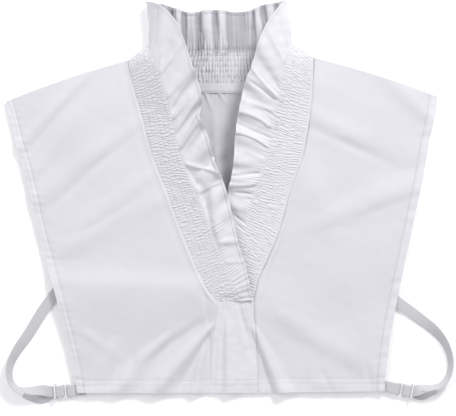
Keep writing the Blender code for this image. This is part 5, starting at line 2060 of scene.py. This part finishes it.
@dataclass(frozen=True)
class Studio:
    """A pale floor, soft light and a camera straight above.

    Lens and sensor are in millimetres, other sizes, distances and places in metres, and turns in degrees.
    The picture has its scale at picture_height_mm above the floor, and floor_glow keeps the floor white.
    """

    lens: float = 220.0
    sensor: float = 36.0
    picture_centre_px: tuple[float, float] = (228.0, 208.0)
    picture_height_mm: float = 4.0
    key_turn: float = 60.0
    key_elevation: float = 37.0
    key_distance: float = 2.2
    key_size: float = 0.5
    key_watts: float = 31.5
    fill_place: tuple[float, float, float] = (-1.5, 0.5, 1.7)
    fill_size: float = 1.4
    fill_watts: float = 14.0
    sky: float = 0.55
    floor_reach: float = 12.0
    floor_drop: float = 0.0004
    floor_glow: float = 0.14
    clip_end: float = 50.0

    def floor(self) -> None:
        """A wide pale floor under the garment."""
        mesh = bpy.data.meshes.new("floor")
        signs = ((-1, -1), (1, -1), (1, 1), (-1, 1))
        corners = [(x * self.floor_reach, y * self.floor_reach, -self.floor_drop) for x, y in signs]
        mesh.from_pydata(corners, [], [(0, 1, 2, 3)])
        finish = SmoothFinish("pale_floor", FLOOR_WHITE, roughness=0.9, grain=0.05, depth=0.0001).build()
        glow = {"Emission_Color": (1.0, 1.0, 1.0, 1.0), "Emission_Strength": self.floor_glow}
        set_inputs(finish.node_tree.nodes[SHADER], glow)
        add_piece("floor", mesh, finish)

    def camera(self) -> None:
        """The camera, looking straight down with the picture's scale at the cloth."""
        camera = bpy.data.cameras.new("camera")
        camera.lens, camera.sensor_width = self.lens, self.sensor
        camera.clip_end = self.clip_end
        placed = bpy.data.objects.new("camera", camera)
        centre = PLAN.metres(*self.picture_centre_px, self.picture_height_mm)
        distance = IMAGE_WIDTH_PX * PIXEL * self.lens / self.sensor
        placed.location = centre + UP * distance
        bpy.context.scene.collection.objects.link(placed)
        bpy.context.scene.camera = placed

    def lamp(self, name: str, place: Vector, size: float, watts: float) -> None:
        """A square soft light turned to the garment."""
        light = bpy.data.lights.new(name, "AREA")
        light.size, light.energy = size, watts
        placed = bpy.data.objects.new(name, light)
        placed.location = place
        placed.rotation_euler = place.to_track_quat("Z", "Y").to_euler()
        bpy.context.scene.collection.objects.link(placed)

    def build(self) -> None:
        """Builds the studio."""
        self.floor()
        self.camera()
        turn, rise = math.radians(self.key_turn), math.radians(self.key_elevation)
        way = Vector((math.cos(turn) * math.cos(rise), math.sin(turn) * math.cos(rise), math.sin(rise)))
        self.lamp("key", way * self.key_distance, self.key_size, self.key_watts)
        self.lamp("fill", Vector(self.fill_place), self.fill_size, self.fill_watts)
        world = bpy.data.worlds.new("studio")
        world.use_nodes = True
        set_inputs(world.node_tree.nodes["Background"], {"Color": (*SKY_WHITE, 1.0), "Strength": self.sky})
        bpy.context.scene.world = world
        bpy.context.scene.view_settings.view_transform = "Standard"


Part = BackPanel | NeckBinding | CollarStrip | FrontPanel | PlacketStrip | StrapSide


def garment() -> list[Part]:
    """Every sub-assembly of the garment, in the order they are built."""
    return [
        BackPanel(flat=(0.430, 0.335), area=0.1135),
        NeckBinding(flat=(0.135, 0.010)),
        CollarStrip(
            "collar_back", BACK_SECTIONS, BACK_CRESTS, BACK_RUFFLE_CREASES, columns=420, margin=0.15, seed=11,
            squareness=2.8, painted_shade=0.9, rise_power=0.8, droop=0.34, groove_shade=1.0, gather_mm=1.35,
            wandering=0.16, fold_mm=0.06, flat=(0.078, 0.20),
        ),
        FrontPanel(Hand.LEFT, LEFT_SIDE, LEFT_SECTIONS, flat=(0.200, 0.330), area=0.0440),
        FrontPanel(Hand.RIGHT, RIGHT_SIDE, RIGHT_SECTIONS, flat=(0.190, 0.330), area=0.0420),
        PlacketStrip(flat=(0.048, 0.092)),
        CollarStrip(
            "collar_right", RIGHT_SECTIONS, RIGHT_CRESTS, RIGHT_RUFFLE_CREASES, columns=680, margin=0.06,
            seed=17, pitch=2.8, wandering=0.42, fold_mm=0.35, smocked_foot=40.0, flat=(0.066, 0.285),
        ),
        CollarStrip(
            "collar_left", LEFT_SECTIONS, LEFT_CRESTS, LEFT_RUFFLE_CREASES, columns=680, margin=0.06,
            seed=23, pitch=2.8, wandering=0.42, fold_mm=0.5, foot_drop_mm=3.0, smocked_foot=40.0,
            flat=(0.066, 0.290),
        ),
        StrapSide(
            Hand.LEFT, LEFT_STRAP, LEFT_RETURN, LEFT_ENDING,
            flat=(0.0105, 0.223), tab_flat=(0.0105, 0.042),
        ),
        StrapSide(
            Hand.RIGHT, RIGHT_STRAP, RIGHT_RETURN, RIGHT_ENDING,
            flat=(0.0105, 0.204), tab_flat=(0.0105, 0.052),
        ),
    ]


def main() -> None:
    """Builds the studio and the dressed garment."""
    logging.basicConfig(level=logging.INFO, format="%(name)s: %(message)s")
    Studio().build()
    finishes = Finishes.build()
    for part in garment():
        part.dress(finishes)
        LOG.info("%s is dressed", type(part).__name__)


if __name__ == "__main__":
    main()
